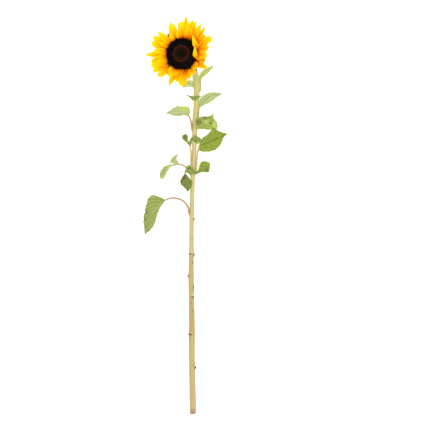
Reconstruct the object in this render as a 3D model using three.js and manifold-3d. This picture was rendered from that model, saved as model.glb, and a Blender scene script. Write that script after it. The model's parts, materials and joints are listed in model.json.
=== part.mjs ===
// A cut sunflower: one long stem with a clean cut at its foot, leaves on its upper half and one bloom.
// It lies on its back on a flat surface, with its bloom turned up.
// Millimetres. The stem runs along +Y from its cut end, +X is to its right, and +Z is up.
// Every place below is measured from the middle of the cut end, and heights from the surface.

import * as THREE from "three";
import { mergeVertices } from "three/addons/utils/BufferGeometryUtils.js";
import Module from "manifold-3d";

const wasm = await Module();
wasm.setup();

// Driving sizes

const CLEARANCE = 0.3;
const STEM_SIDES = 12;
const STALK_SIDES = 6;
const STEM_AXIS_HEIGHT = 5.3;
const BLADE_THICKNESS = 0.9;
const MARGIN_CURL = 1.4;
const PETAL_THICKNESS = 0.8;
const BRACT_THICKNESS = 1.0;

const HEAD_CENTRE = new THREE.Vector3(-19, 632, 40);
const HEAD_AXIS = new THREE.Vector3(-0.27, 0.15, 0.951).normalize();
const DISC_RADIUS = 28.4;
const DISC_FLOOR = -3.1;
const RECEPTACLE_TOP = DISC_FLOOR - CLEARANCE;
const RECEPTACLE_DEPTH = 20;
const RECEPTACLE_RADIUS = 30.5;
const NECK_RADIUS = 6.2;

// Petals rise from the disc's edge by an angle in degrees, most on the bloom's right-hand side. They
// grow in tiers, each with its root a step higher and its blade a little steeper.
const PETAL_ROOT_RADIUS = DISC_RADIUS + 0.5;
const PETAL_ROOT_HEIGHT = -0.9;
const PETAL_ROOT_WIDTH = 5.5;
const PETAL_WIDEST = 0.55;
const PETAL_CUP = 0.2;
const PETAL_BOW = 0.12;
const PETAL_MEAN_RISE = 29;
const PETAL_RISE_SWING = 12;
const STEEPEST_PETAL_CLOCK = 100;
const PETAL_TIERS = 3;
const MIDDLE_TIER = 1;
const TIER_STEP = 1.35;
const TIER_TURN = 5.5;

// Bracts stand in two rings. Their roots and pulls are places beside the receptacle, as a radius and
// a height from the disc's edge. On the head's low side their tips lie on the surface, and from there
// round to the high side they lift off it.
const BRACT_COUNT = 22;
const BRACT_WIDTH = 10;
const BRACT_ROOT_WIDTH = 8;
const BRACT_WIDEST = 0.4;
const BRACT_CUP = -0.15;
const BRACT_ROOT = [24, -9.4];
const BRACT_PULL = [36, -8.2];
const BRACT_REACH = 43;
const HIGH_BRACT_REACH = 37;
const INNER_BRACT_REACH = 2;
const INNER_BRACT_RISE = 1.6;
const INNER_TIP_RISE = 4;
const LOWEST_RIM_CLOCK = 299;
const LIFT_STARTS = 50;
const LIFT_ENDS = 160;
const BRACT_TIP_REST = 0.8;
const BRACT_TIP_LIFT = 22;

// The stem: its middle line and radius, from the cut end to the back of the bloom

const NECK_STRAIGHT = 5;
const neckEnd = HEAD_CENTRE.clone().addScaledVector(HEAD_AXIS, -RECEPTACLE_DEPTH - CLEARANCE);
const neckBelowEnd = neckEnd.clone().addScaledVector(HEAD_AXIS, -NECK_STRAIGHT);

const STEM = [
  { at: [0, 0, STEM_AXIS_HEIGHT], radius: 4.7 },
  { at: [0, 15, STEM_AXIS_HEIGHT], radius: 5.3 },
  { at: [-1.0, 62, STEM_AXIS_HEIGHT], radius: 4.95 },
  { at: [-1.8, 112, STEM_AXIS_HEIGHT], radius: 4.75 },
  { at: [-1.6, 147, STEM_AXIS_HEIGHT], radius: 4.9 },
  { at: [-2.3, 195, STEM_AXIS_HEIGHT], radius: 4.4 },
  { at: [-3.1, 238, STEM_AXIS_HEIGHT], radius: 4.4 },
  { at: [-2.7, 282, STEM_AXIS_HEIGHT], radius: 3.95 },
  { at: [-2.4, 325, STEM_AXIS_HEIGHT], radius: 3.7 },
  { at: [-1.7, 365, STEM_AXIS_HEIGHT], radius: 3.6 },
  { at: [-0.4, 411, STEM_AXIS_HEIGHT], radius: 3.45 },
  { at: [1.6, 450, STEM_AXIS_HEIGHT], radius: 3.35 },
  { at: [2.8, 486, STEM_AXIS_HEIGHT], radius: 3.9 },
  { at: [3.6, 512, STEM_AXIS_HEIGHT], radius: 4.3 },
  { at: [5.4, 540, STEM_AXIS_HEIGHT], radius: 4.3 },
  { at: [6.4, 562, STEM_AXIS_HEIGHT], radius: 4.7 },
  { at: [6.0, 581, STEM_AXIS_HEIGHT], radius: 5.2 },
  { at: [4.2, 596, STEM_AXIS_HEIGHT], radius: 5.0 },
  { at: [1.0, 607.5, 5.5], radius: 4.7 },
  { at: [-3.6, 617, 6.6], radius: 4.7 },
  { at: [-8.8, 624.4, 9.8], radius: 4.9 },
  { at: neckBelowEnd.toArray(), radius: 5.4 },
  { at: neckEnd.toArray(), radius: NECK_RADIUS },
];

// Stubs of cut leaf stalks on the bare lower stem: height up the stem, and the side they stand on,
// turned about the stem from its right-hand side
const STUBS = [
  { along: 80, turn: 0, radius: 1.6, length: 2.0 },
  { along: 140, turn: 180, radius: 1.7, length: 1.8 },
  { along: 239, turn: 180, radius: 1.6, length: 2.3 },
  { along: 278.5, turn: 10, radius: 1.4, length: 2.0 },
  { along: 340, turn: 40, radius: 1.3, length: 1.6 },
];

// Long leaf stalks, each from inside the stem to just short of its blade
const STALKS = [
  {
    name: "leaf_stalk_05",
    radii: [1.3, 1.0],
    path: [
      [1.0, 494, 5.3], [-1.9, 501, 5.9], [-2.9, 509.5, 6.5], [-4.6, 518, 7], [-7, 522.7, 7.2],
    ],
  },
  {
    name: "leaf_stalk_07",
    radii: [1.3, 1.0],
    path: [
      [0.4, 428, 5.3], [-3.0, 438, 5.9], [-3.5, 449, 6.5], [-3.7, 460, 7.6], [-5.1, 470.4, 8.6],
    ],
  },
  {
    name: "leaf_stalk_08",
    radii: [1.4, 1.1],
    path: [
      [2.2, 420.8, 6.6], [5.6, 430.5, 6.9], [6.4, 441, 6.7], [7.2, 451.8, 7.1], [8.8, 461, 7.6],
      [11.2, 470.7, 8.1],
    ],
  },
  {
    name: "leaf_stalk_09",
    radii: [1.3, 1.0],
    path: [
      [-0.4, 423.4, 4.6], [-4.2, 427.4, 5.0], [-8.4, 431, 5.9], [-13.8, 434.4, 7], [-20, 437.5, 7.5],
      [-27, 438.8, 7.5], [-35.8, 437.1, 7.1],
    ],
  },
  {
    name: "leaf_stalk_12",
    radii: [1.1, 0.9],
    path: [
      [-0.6, 417.5, 5.9], [-5.0, 421.4, 7.2], [-8.9, 426.5, 8.4], [-12, 427.9, 8.6],
      [-13.7, 425.4, 8.7], [-13.7, 422.0, 8.8],
    ],
  },
  {
    name: "leaf_stalk_13",
    radii: [1.6, 1.0],
    path: [
      [-2.0, 341, 5.3], [-6.6, 353, 5.7], [-8.6, 362, 6.2], [-13.4, 370.4, 7], [-22, 376.5, 7.8],
      [-33.5, 379.3, 8], [-43, 377.8, 7.2], [-49, 375.4, 6.2],
    ],
  },
];

// Leaf blades, numbered down the stem. The rib runs from the stalk's end to the leaf's tip. Left and
// right hold the blade's half width seen from above, at even steps along the rib, and leftHeight and
// rightHeight how high that margin lies.
const LEAVES = [
  {
    name: "leaf_01",
    rib: [
      [7.0, 560, 5.4], [12.6, 568.5, 5.9], [13.5, 579.5, 6.5], [13.0, 589.6, 6.6], [19, 598, 7],
      [27.5, 605, 6], [36.9, 612.1, 4],
    ],
    left: [1.1, 1.1, 1.1, 3.4, 4.8, 3.4, 0.4],
    leftHeight: [5.4, 6.4, 8.5, 8.5, 4.2],
    right: [1.1, 1.1, 1.1, 2.4, 4.2, 3.2, 0.4],
    rightHeight: [5.4, 6.4, 5, 3.6, 3.6],
  },
  {
    name: "leaf_02",
    rib: [[4.2, 574, 5.6], [-1.5, 578, 7], [-8, 579.5, 8], [-17.9, 573.7, 6]],
    left: [1.2, 3.6, 4.6, 3.2, 0.4],
    leftHeight: [5.6, 5, 4, 5.5],
    right: [1.2, 5.4, 6.8, 5, 0.4],
    rightHeight: [5.6, 8.4, 9, 7],
  },
  {
    name: "leaf_03",
    rib: [[-11, 560.3, 8.2], [-4, 556.9, 10.6], [4, 555.6, 11.6], [14.6, 558.4, 10.4]],
    left: [0.4, 1.7, 2.6, 2.6, 0.4],
    leftHeight: [8.4, 11.2, 12.2, 11.6, 10.6],
    right: [0.4, 1.4, 5.2, 2.2, 0.4],
    rightHeight: [8, 10.3, 10.45, 10.8, 10.2],
  },
  {
    name: "leaf_04",
    rib: [
      [4.8, 513.5, 5.5], [9.9, 526, 6], [10.9, 538, 6.5], [17, 547, 8], [27.9, 554.8, 7.4],
      [40, 560, 3.8], [51.5, 562.7, 0.9],
    ],
    left: [1.1, 1.1, 2.4, 7.8, 8.6, 5.4, 0.4],
    leftHeight: [5.5, 6.3, 7.4, 6, 1],
    right: [1.1, 1.1, 1.6, 5.8, 7.6, 4.6, 0.4],
    rightHeight: [5.5, 6, 2.6, 0.8, 0.8],
  },
  {
    name: "leaf_05",
    rib: [
      [-7.4, 523.1, 7.4], [-15, 528.5, 8], [-26.5, 530.2, 7], [-38, 529.8, 3.6], [-48, 528.2, 1],
    ],
    left: [0.8, 3, 5.2, 6.6, 6.2, 2.8, 0.4],
    leftHeight: [6.8, 3.5, 1.4, 0.8],
    right: [2.4, 12, 10, 10.4, 7.6, 2.8, 0.4],
    rightHeight: [7.8, 12, 8, 1.2],
  },
  {
    name: "leaf_06",
    rib: [[5.2, 502.6, 10], [11.2, 506.8, 10.6], [21.7, 513.6, 10], [30, 520, 8], [37.4, 528.8, 5]],
    left: [1.4, 10.4, 12.2, 9.6, 5.6, 2.4, 0.4],
    leftHeight: [10.2, 13, 13, 10, 5.2],
    right: [1.4, 5.4, 13.4, 17.6, 21.4, 9, 0.4],
    rightHeight: [9.8, 8, 3.4, 0.8, 4.4],
  },
  {
    name: "leaf_07",
    rib: [
      [-4.1, 471.7, 9.1], [-3.4, 478.4, 11], [2.5, 483.3, 12.3], [9.5, 480.7, 12.3], [18.5, 477, 11.8],
    ],
    left: [0.5, 3.4, 5.2, 4.8, 1],
    leftHeight: [9.2, 12, 13, 12.7, 12],
    right: [0.5, 3, 5, 6.2, 1],
    rightHeight: [9.2, 10.6, 11, 11, 11.6],
  },
  {
    name: "leaf_07_curl",
    rib: [[-5.9, 471.3, 8.9], [-8.6, 477, 9.5], [-12.1, 481, 9], [-15.9, 489.6, 8]],
    left: [0.5, 1.5, 2.2, 4.6, 3],
    leftHeight: [9, 10, 12, 14, 13],
    right: [0.5, 1, 1.7, 4.8, 3],
    rightHeight: [9, 10.5, 12.5, 15, 14],
  },
  {
    name: "leaf_08",
    rib: [[12.1, 472, 8.5], [22, 475.5, 9.4], [35.7, 480.8, 8], [48, 486.5, 4], [59.9, 492.6, 1]],
    left: [1.2, 10.4, 12.6, 16.4, 18.2, 8, 0.4],
    leftHeight: [8.8, 10, 8.6, 4, 1],
    right: [5.4, 13.4, 16, 15.4, 10.4, 3.6, 0.4],
    rightHeight: [6.8, 2, 0.8, 0.8, 0.8],
  },
  {
    name: "leaf_09",
    rib: [[-36.5, 436.8, 7], [-42, 435, 8], [-48, 430, 8], [-52.5, 423, 6], [-55.8, 413, 1.6]],
    left: [1.2, 3.6, 5, 5.4, 2.8],
    leftHeight: [6.4, 4, 2.4, 0.9, 0.8],
    right: [1.2, 3.6, 5.4, 5.4, 2.4],
    rightHeight: [6.4, 4, 2.2, 0.9, 0.8],
  },
  {
    name: "leaf_09_wing",
    rib: [[-33, 440.3, 9.3], [-32.4, 448, 11.4], [-26.3, 457, 10.4]],
    left: [5.2, 6, 4.4, 2, 0.4],
    leftHeight: [8.8, 9, 9.6],
    right: [6.6, 5.6, 3.4, 1.8, 0.4],
    rightHeight: [9.2, 10.4, 10.4],
  },
  {
    name: "leaf_10",
    rib: [
      [2.0, 420.4, 4.4], [6.8, 423.4, 5.2], [10.8, 426.5, 6.2], [17.7, 431.6, 7.5], [24, 436, 7],
      [30, 439.5, 5.5],
    ],
    left: [1.2, 1.2, 2.2, 6.6, 10.4, 8.4, 2.4],
    leftHeight: [4.4, 6.4, 11, 11.6, 9],
    right: [1.2, 1.2, 3.2, 6, 10.2, 7.4, 1.5],
    rightHeight: [4.4, 5, 2.4, 0.9, 2],
  },
  {
    name: "leaf_11",
    rib: [[4.4, 423.8, 10.6], [-3.8, 428, 12.2], [-12.6, 431.6, 12]],
    left: [1.4, 5.2, 6.6, 6.8, 3.6],
    leftHeight: [10.2, 9.75, 10.6, 12.2, 12.2],
    right: [1.4, 4.2, 7, 7.4, 3.4],
    rightHeight: [10.8, 12.8, 14.4, 14.4, 12.8],
  },
  {
    name: "leaf_12",
    rib: [[-13.6, 421.4, 9], [-12.6, 413, 10.2], [-11.2, 402, 9.4], [-8.8, 390.3, 7.6]],
    left: [1.4, 6, 10.6, 7.6, 0.4],
    leftHeight: [9.2, 10, 10.2, 9.8, 7.8],
    right: [1.4, 8, 10, 4.4, 0.4],
    rightHeight: [8.8, 6.4, 3.4, 5, 7.4],
  },
  {
    name: "leaf_13",
    rib: [
      [-49.6, 375.1, 6.2], [-61.3, 365, 8.4], [-71.4, 351.1, 8], [-78, 336.5, 5], [-84.6, 315.3, 0.9],
    ],
    left: [1, 3.2, 5.3, 8, 9.8, 7.4, 0.4],
    leftHeight: [5.4, 2.2, 0.8, 0.8, 0.8],
    right: [4, 19, 17.4, 13.4, 10, 5, 0.4],
    rightHeight: [6, 2.6, 0.8, 0.8, 0.8],
  },
];

// Petals, clockwise from the first one past the top. Clock is the angle of the tip seen from above,
// clockwise from +Y, and reach its distance from the middle of the disc. Each petal lies in the next of
// three tiers, so that neighbours pass over each other.
const PETALS = [
  { clock: 6, reach: 65.5, width: 8 },
  { clock: 12, reach: 60, width: 10.5 },
  { clock: 17.5, reach: 62, width: 10 },
  { clock: 23, reach: 64, width: 10 },
  { clock: 33.5, reach: 62.5, width: 12 },
  { clock: 41.5, reach: 61.5, width: 10.5 },
  { clock: 51, reach: 53, width: 12 },
  { clock: 61.5, reach: 58.5, width: 13 },
  { clock: 68.5, reach: 50, width: 11 },
  { clock: 76, reach: 48.5, width: 12 },
  { clock: 93, reach: 45, width: 12.5 },
  { clock: 107, reach: 44, width: 12.5 },
  { clock: 120.5, reach: 52.5, width: 13 },
  { clock: 137, reach: 38.5, width: 10.5 },
  { clock: 149, reach: 42, width: 11 },
  { clock: 164, reach: 47, width: 12 },
  { clock: 178, reach: 56, width: 13.5 },
  { clock: 190, reach: 47.5, width: 12 },
  { clock: 202, reach: 60, width: 10 },
  { clock: 210, reach: 48, width: 12 },
  { clock: 226, reach: 56, width: 13.5 },
  { clock: 239.5, reach: 60, width: 14 },
  { clock: 248.5, reach: 59, width: 12.5 },
  { clock: 256, reach: 56.5, width: 12 },
  { clock: 269, reach: 65, width: 12.5 },
  { clock: 277.5, reach: 50.5, width: 12.5 },
  { clock: 290.5, reach: 59, width: 13.5 },
  { clock: 301, reach: 60, width: 13.5 },
  { clock: 312, reach: 58.5, width: 12 },
  { clock: 319, reach: 39, width: 12 },
  { clock: 339, reach: 59, width: 14 },
  { clock: 357, reach: 56.5, width: 13.5 },
];

// Two narrow petals that stand up by the disc's right-hand edge and lean along it. Their roots are
// just outside the highest tier's, and their pull is a share of the way to the tip, and of its height.
const LEANING_ROOT_OFFSET = 0.3;
const LEANING_TIER = 2.5;
const LEANING_ROOT_WIDTH = 2.4;
const LEANING_WIDEST = 0.5;
const LEANING_CUP = -0.2;
const LEANING_PULL = 0.35;
const LEANING_PULL_HEIGHT = 0.85;
const LEANING_SPREAD = 1.02;
const LEANING_ACROSS = new THREE.Vector3(1, 0, 0.6);
const LEANING_PETALS = [
  { rootClock: 79, clock: 29, reach: 37.5, height: 17, width: 8.5 },
  { rootClock: 122, clock: 63, reach: 24.5, height: 14.5, width: 9 },
];

const LEAF_COLOUR = 0x9cb84a;
const STEM_COLOUR = 0xd8c884;
const STALK_COLOUR = 0xc9a97c;
const PETAL_COLOUR = 0xffc800;
const CALYX_COLOUR = 0x6f8a34;
const FLORET_COLOUR = 0x140804;
const FLORET_RING_COLOUR = 0x3c1c10;
const FLORET_HEART_COLOUR = 0x191914;

// Small helpers

const radians = THREE.MathUtils.degToRad;

// The value of a list of evenly spaced numbers at a fraction of its length, joined smoothly.
function valueAt(values, fraction) {
  const place = fraction * (values.length - 1);
  const index = Math.min(Math.floor(place), values.length - 2);
  const before = values[Math.max(index - 1, 0)];
  const after = values[Math.min(index + 2, values.length - 1)];
  const smooth = THREE.MathUtils.clamp(place - index, 0, 1);
  const curve = new THREE.CatmullRomCurve3([
    new THREE.Vector3(before), new THREE.Vector3(values[index]),
    new THREE.Vector3(values[index + 1]), new THREE.Vector3(after),
  ], false, "catmullrom", 0.5);
  return curve.getPoint((1 + smooth) / 3).x;
}

function curveThrough(places) {
  const points = places.map((place) => new THREE.Vector3(...place));
  return new THREE.CatmullRomCurve3(points, false, "centripetal");
}

function geometryFrom(positions, faces) {
  const geometry = new THREE.BufferGeometry();
  geometry.setAttribute("position", new THREE.Float32BufferAttribute(positions, 3));
  geometry.setIndex(faces);
  return geometry;
}

// The solid of a geometry, for cutting and joining.
function solidOf(geometry) {
  const bare = geometry.clone();
  bare.deleteAttribute("normal");
  bare.deleteAttribute("uv");
  const merged = mergeVertices(bare, 1e-5);
  return new wasm.Manifold(new wasm.Mesh({
    numProp: 3,
    vertProperties: new Float32Array(merged.attributes.position.array),
    triVerts: new Uint32Array(merged.index.array),
  }));
}

function geometryOf(solid) {
  const mesh = solid.getMesh();
  return geometryFrom(Array.from(mesh.vertProperties), Array.from(mesh.triVerts));
}

// A round limb along a row of rings, closed at both ends. The end faces may be given directions.
function limbGeometry(centres, radiusAt, sides, firstDirection, lastDirection) {
  const positions = [];
  const faces = [];
  let side = new THREE.Vector3(1, 0, 0);
  centres.forEach((centre, ring) => {
    const before = centres[Math.max(ring - 1, 0)];
    const after = centres[Math.min(ring + 1, centres.length - 1)];
    let along = after.clone().sub(before).normalize();
    if (ring === 0 && firstDirection) along = firstDirection;
    if (ring === centres.length - 1 && lastDirection) along = lastDirection;
    side = side.clone().addScaledVector(along, -side.dot(along)).normalize();
    const front = new THREE.Vector3().crossVectors(along, side);
    for (let corner = 0; corner < sides; corner += 1) {
      const angle = (2 * Math.PI * corner) / sides;
      const point = centre.clone()
        .addScaledVector(side, radiusAt(ring) * Math.cos(angle))
        .addScaledVector(front, radiusAt(ring) * Math.sin(angle));
      positions.push(...point.toArray());
    }
  });
  for (let ring = 0; ring < centres.length - 1; ring += 1) {
    for (let corner = 0; corner < sides; corner += 1) {
      const here = ring * sides + corner;
      const beside = ring * sides + ((corner + 1) % sides);
      faces.push(here, beside, beside + sides, here, beside + sides, here + sides);
    }
  }
  const last = (centres.length - 1) * sides;
  for (let corner = 1; corner < sides - 1; corner += 1) {
    faces.push(0, corner + 1, corner);
    faces.push(last, last + corner, last + corner + 1);
  }
  return geometryFrom(positions, faces);
}

// A thin sheet given as rows of points, thickened both ways and closed round its edge.
function sheetGeometry(rows, thickness) {
  const columns = rows[0].length;
  const upper = [];
  const lower = [];
  rows.forEach((row, i) => {
    row.forEach((point, j) => {
      const along = rows[Math.min(i + 1, rows.length - 1)][j].clone().sub(rows[Math.max(i - 1, 0)][j]);
      const across = row[Math.min(j + 1, columns - 1)].clone().sub(row[Math.max(j - 1, 0)]);
      const offset = along.cross(across).normalize().multiplyScalar(thickness / 2);
      upper.push(...point.clone().add(offset).toArray());
      lower.push(...point.clone().sub(offset).toArray());
    });
  });
  const faces = [];
  const under = rows.length * columns;
  const quad = (a, b, c, d) => faces.push(a, b, c, a, c, d);
  for (let i = 0; i < rows.length - 1; i += 1) {
    for (let j = 0; j < columns - 1; j += 1) {
      const corner = i * columns + j;
      quad(corner, corner + columns, corner + columns + 1, corner + 1);
      quad(under + corner, under + corner + 1, under + corner + columns + 1, under + corner + columns);
    }
    const first = i * columns;
    const last = first + columns - 1;
    quad(first, under + first, under + first + columns, first + columns);
    quad(last, last + columns, under + last + columns, under + last);
  }
  const end = (rows.length - 1) * columns;
  for (let j = 0; j < columns - 1; j += 1) {
    quad(j, j + 1, under + j + 1, under + j);
    quad(end + j, under + end + j, under + end + j + 1, end + j + 1);
  }
  return geometryFrom([...upper, ...lower], faces);
}

function namedMesh(name, geometry, color, roughness) {
  geometry.computeVertexNormals();
  const mesh = new THREE.Mesh(geometry, new THREE.MeshStandardMaterial({ color, roughness, metalness: 0 }));
  mesh.name = name;
  return mesh;
}

// The stem with its stubs

const RINGS_PER_STRETCH = 2;

function stemLimb(extraRadius) {
  const curve = curveThrough(STEM.map((station) => station.at));
  const radii = STEM.map((station) => station.radius);
  const ringCount = (STEM.length - 1) * RINGS_PER_STRETCH + 1;
  const centres = [];
  for (let ring = 0; ring < ringCount; ring += 1) {
    centres.push(curve.getPoint(ring / (ringCount - 1)));
  }
  const radiusAt = (ring) => valueAt(radii, ring / (ringCount - 1)) + extraRadius;
  return limbGeometry(centres, radiusAt, STEM_SIDES, new THREE.Vector3(0, 1, 0), HEAD_AXIS);
}

// The middle and radius of the stem at a height up its straight part.
function stemAt(along) {
  const next = STEM.findIndex((station) => station.at[1] > along);
  const [below, above] = [STEM[next - 1], STEM[next]];
  const share = (along - below.at[1]) / (above.at[1] - below.at[1]);
  return {
    x: THREE.MathUtils.lerp(below.at[0], above.at[0], share),
    radius: THREE.MathUtils.lerp(below.radius, above.radius, share),
  };
}

const STUB_LEAN = 0.7;
const STUB_ROOT_DEPTH = 0.6;
const STUB_TAPER = 0.8;
const STUB_SIDES = 8;

// A stub stands out of the stem and leans towards the bloom. It starts inside the stem.
function stubGeometry({ along, turn, radius, length }) {
  const { x, radius: stemRadius } = stemAt(along);
  const out = new THREE.Vector3(Math.cos(radians(turn)), STUB_LEAN, Math.sin(radians(turn))).normalize();
  const depth = stemRadius * STUB_ROOT_DEPTH;
  const root = new THREE.Vector3(x, along, STEM_AXIS_HEIGHT).addScaledVector(out, depth);
  const reach = depth + length;
  const cylinder = new THREE.CylinderGeometry(radius * STUB_TAPER, radius, reach, STUB_SIDES);
  cylinder.translate(0, reach / 2, 0);
  cylinder.applyQuaternion(new THREE.Quaternion().setFromUnitVectors(new THREE.Vector3(0, 1, 0), out));
  cylinder.translate(...root.toArray());
  return cylinder;
}

function stem() {
  let solid = solidOf(stemLimb(0));
  for (const stub of STUBS) {
    solid = solid.add(solidOf(stubGeometry(stub)));
  }
  return namedMesh("stem", geometryOf(solid), STEM_COLOUR, 0.6);
}

const stemWithClearance = solidOf(stemLimb(CLEARANCE));

// A stalk or leaf is cut clear of the stem that it springs from.
function clearOfStem(geometry) {
  return geometryOf(solidOf(geometry).subtract(stemWithClearance));
}

// Leaf stalks and blades

const RINGS_PER_STALK_POINT = 2;

function stalk({ name, radii, path }) {
  const curve = curveThrough(path);
  const steps = (path.length - 1) * RINGS_PER_STALK_POINT;
  const centres = curve.getPoints(steps);
  const radiusAt = (ring) => THREE.MathUtils.lerp(radii[0], radii[1], ring / steps);
  return namedMesh(name, clearOfStem(limbGeometry(centres, radiusAt, STALK_SIDES)), STALK_COLOUR, 0.6);
}

const BLADE_ROWS = 11;
const BLADE_COLUMNS = [-1, -0.55, 0, 0.55, 1];

function bladeRows({ rib, left, right, leftHeight, rightHeight }) {
  const curve = curveThrough(rib);
  const rows = [];
  for (let row = 0; row < BLADE_ROWS; row += 1) {
    const fraction = row / (BLADE_ROWS - 1);
    const middle = curve.getPointAt(fraction);
    const along = curve.getTangentAt(fraction);
    const toLeft = new THREE.Vector3(-along.y, along.x, 0).normalize();
    rows.push(BLADE_COLUMNS.map((share) => {
      const [widths, heights] = share < 0 ? [right, rightHeight] : [left, leftHeight];
      const point = middle.clone().addScaledVector(toLeft, share * valueAt(widths, fraction));
      point.z += (valueAt(heights, fraction) - middle.z) * Math.abs(share) ** MARGIN_CURL;
      return point;
    }));
  }
  return rows;
}

function leaf(shape) {
  const blade = sheetGeometry(bladeRows(shape), BLADE_THICKNESS);
  return namedMesh(shape.name, clearOfStem(blade), LEAF_COLOUR, 0.7);
}

// The bloom, in its own frame: +Z is the head's axis and the disc's edge lies at height 0

const headTurn = new THREE.Quaternion().setFromUnitVectors(new THREE.Vector3(0, 0, 1), HEAD_AXIS);
const headTurnBack = headTurn.clone().invert();
const headRight = new THREE.Vector3(1, 0, 0).applyQuaternion(headTurn);
const headUp = new THREE.Vector3(0, 1, 0).applyQuaternion(headTurn);

function planDirection(clock) {
  return new THREE.Vector3(Math.sin(radians(clock)), Math.cos(radians(clock)), 0);
}

// The point of the head's frame that is seen from above at a clock angle and a reach, at a given
// height over the plane of the disc's edge.
function headPointUnder(clock, reach, height) {
  const plan = planDirection(clock).multiplyScalar(reach);
  const x = plan.x - height * HEAD_AXIS.x;
  const y = plan.y - height * HEAD_AXIS.y;
  const area = headRight.x * headUp.y - headRight.y * headUp.x;
  return new THREE.Vector3(
    (x * headUp.y - y * headUp.x) / area,
    (y * headRight.x - x * headRight.y) / area,
    height,
  );
}

// The point of the head's frame at a place given from the head's centre in the plant's frame.
function headPointAt(offset) {
  return offset.clone().applyQuaternion(headTurnBack);
}

function bezier(start, pull, end) {
  return new THREE.QuadraticBezierCurve3(start, pull, end);
}

const LANCE_ROWS = 8;
const LANCE_TIP_WIDTH = 0.9;
const LANCE_SHARPNESS = 1.3;
const PETAL_COLUMNS = [-1, -0.5, 0, 0.5, 1];
const BRACT_COLUMNS = [-1, 0, 1];

// A lanceolate blade along a curve: narrow at its root, widest past its middle, pointed at its tip.
function lanceGeometry(curve, { width, rootWidth, thickness, widest, cup, columns, acrossRoot }) {
  const rows = [];
  for (let row = 0; row < LANCE_ROWS; row += 1) {
    const fraction = row / (LANCE_ROWS - 1);
    const middle = curve.getPoint(fraction);
    const along = curve.getTangent(fraction);
    const across = acrossRoot.clone().addScaledVector(along, -acrossRoot.dot(along)).normalize();
    const face = new THREE.Vector3().crossVectors(along, across);
    const past = Math.max((fraction - widest) / (1 - widest), 0);
    const swell = Math.sin((Math.PI / 2) * Math.min(fraction / widest, 1));
    const taper = Math.sqrt(1 - past ** 2) ** LANCE_SHARPNESS;
    const half = Math.max(THREE.MathUtils.lerp(rootWidth, width, swell) * taper, LANCE_TIP_WIDTH) / 2;
    rows.push(columns.map((share) => middle.clone()
      .addScaledVector(across, share * half)
      .addScaledVector(face, cup * half * share * share * Math.sin(Math.PI * fraction))));
  }
  return sheetGeometry(rows, thickness);
}

// The slope of a petal, from the clock angle of its tip and its tier.
function petalSlope(clock, tier) {
  const swing = PETAL_RISE_SWING * Math.cos(radians(clock - STEEPEST_PETAL_CLOCK));
  return Math.tan(radians(PETAL_MEAN_RISE + swing + (tier - MIDDLE_TIER) * TIER_TURN));
}

// The height of a petal's tip that is seen from above at its clock angle and reach, when the petal
// rises from its root at a given slope.
function petalTipHeight(clock, reach, rootHeight, slope) {
  const low = headPointUnder(clock, reach, 0);
  const high = headPointUnder(clock, reach, 1);
  const radius = Math.hypot(low.x, low.y);
  const radiusGain = Math.hypot(high.x, high.y) - radius;
  return (rootHeight + slope * (radius - PETAL_ROOT_RADIUS)) / (1 - slope * radiusGain);
}

function petalMesh(index, geometry, turn) {
  const mesh = namedMesh(`petal_${String(index + 1).padStart(2, "0")}`, geometry, PETAL_COLOUR, 0.6);
  mesh.rotation.z = turn;
  return mesh;
}

// A petal is modelled pointing along +X from the head's axis and turned to its place about it.
function petal(index, { clock, reach, width }) {
  const tier = (index + 1) % PETAL_TIERS;
  const slope = petalSlope(clock, tier);
  const rootHeight = PETAL_ROOT_HEIGHT + (tier - MIDDLE_TIER) * TIER_STEP;
  const tip = headPointUnder(clock, reach, petalTipHeight(clock, reach, rootHeight, slope));
  const root = new THREE.Vector3(PETAL_ROOT_RADIUS, 0, rootHeight);
  const end = new THREE.Vector3(Math.hypot(tip.x, tip.y), 0, tip.z);
  const pull = root.clone().lerp(end, 0.5);
  pull.z += PETAL_BOW * (end.z - root.z);
  const geometry = lanceGeometry(bezier(root, pull, end), {
    width, rootWidth: PETAL_ROOT_WIDTH, thickness: PETAL_THICKNESS, widest: PETAL_WIDEST, cup: PETAL_CUP,
    columns: PETAL_COLUMNS, acrossRoot: new THREE.Vector3(0, 1, 0),
  });
  return petalMesh(index, geometry, Math.atan2(tip.y, tip.x));
}

function leaningPetal(index, { rootClock, clock, reach, height, width }) {
  const rootPlan = headPointUnder(rootClock, PETAL_ROOT_RADIUS, 0);
  const turn = Math.atan2(rootPlan.y, rootPlan.x);
  const rootHeight = PETAL_ROOT_HEIGHT + LEANING_TIER * TIER_STEP;
  const root = new THREE.Vector3(PETAL_ROOT_RADIUS + LEANING_ROOT_OFFSET, 0, rootHeight);
  const end = headPointUnder(clock, reach, height).applyAxisAngle(new THREE.Vector3(0, 0, 1), -turn);
  const pull = root.clone().lerp(end, LEANING_PULL).multiplyScalar(LEANING_SPREAD);
  pull.z = THREE.MathUtils.lerp(root.z, end.z, LEANING_PULL_HEIGHT);
  const geometry = lanceGeometry(bezier(root, pull, end), {
    width, rootWidth: LEANING_ROOT_WIDTH, thickness: PETAL_THICKNESS, widest: LEANING_WIDEST,
    cup: LEANING_CUP, columns: PETAL_COLUMNS, acrossRoot: LEANING_ACROSS,
  });
  return petalMesh(index, geometry, turn);
}

// A body of revolution about the head's axis, from a profile of radius and height.
function turnedGeometry(profile) {
  const points = profile.map(([radius, height]) => new THREE.Vector2(radius, height));
  const lathe = new THREE.LatheGeometry(points, TURNED_SEGMENTS);
  lathe.rotateX(Math.PI / 2);
  return lathe;
}

const TURNED_SEGMENTS = 32;
const RING_OUTER = 15.6;
const RING_INNER = 11.2;
const RIM_INNER = RING_OUTER + CLEARANCE;
const HEART_GAP = RING_INNER + CLEARANCE;

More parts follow.
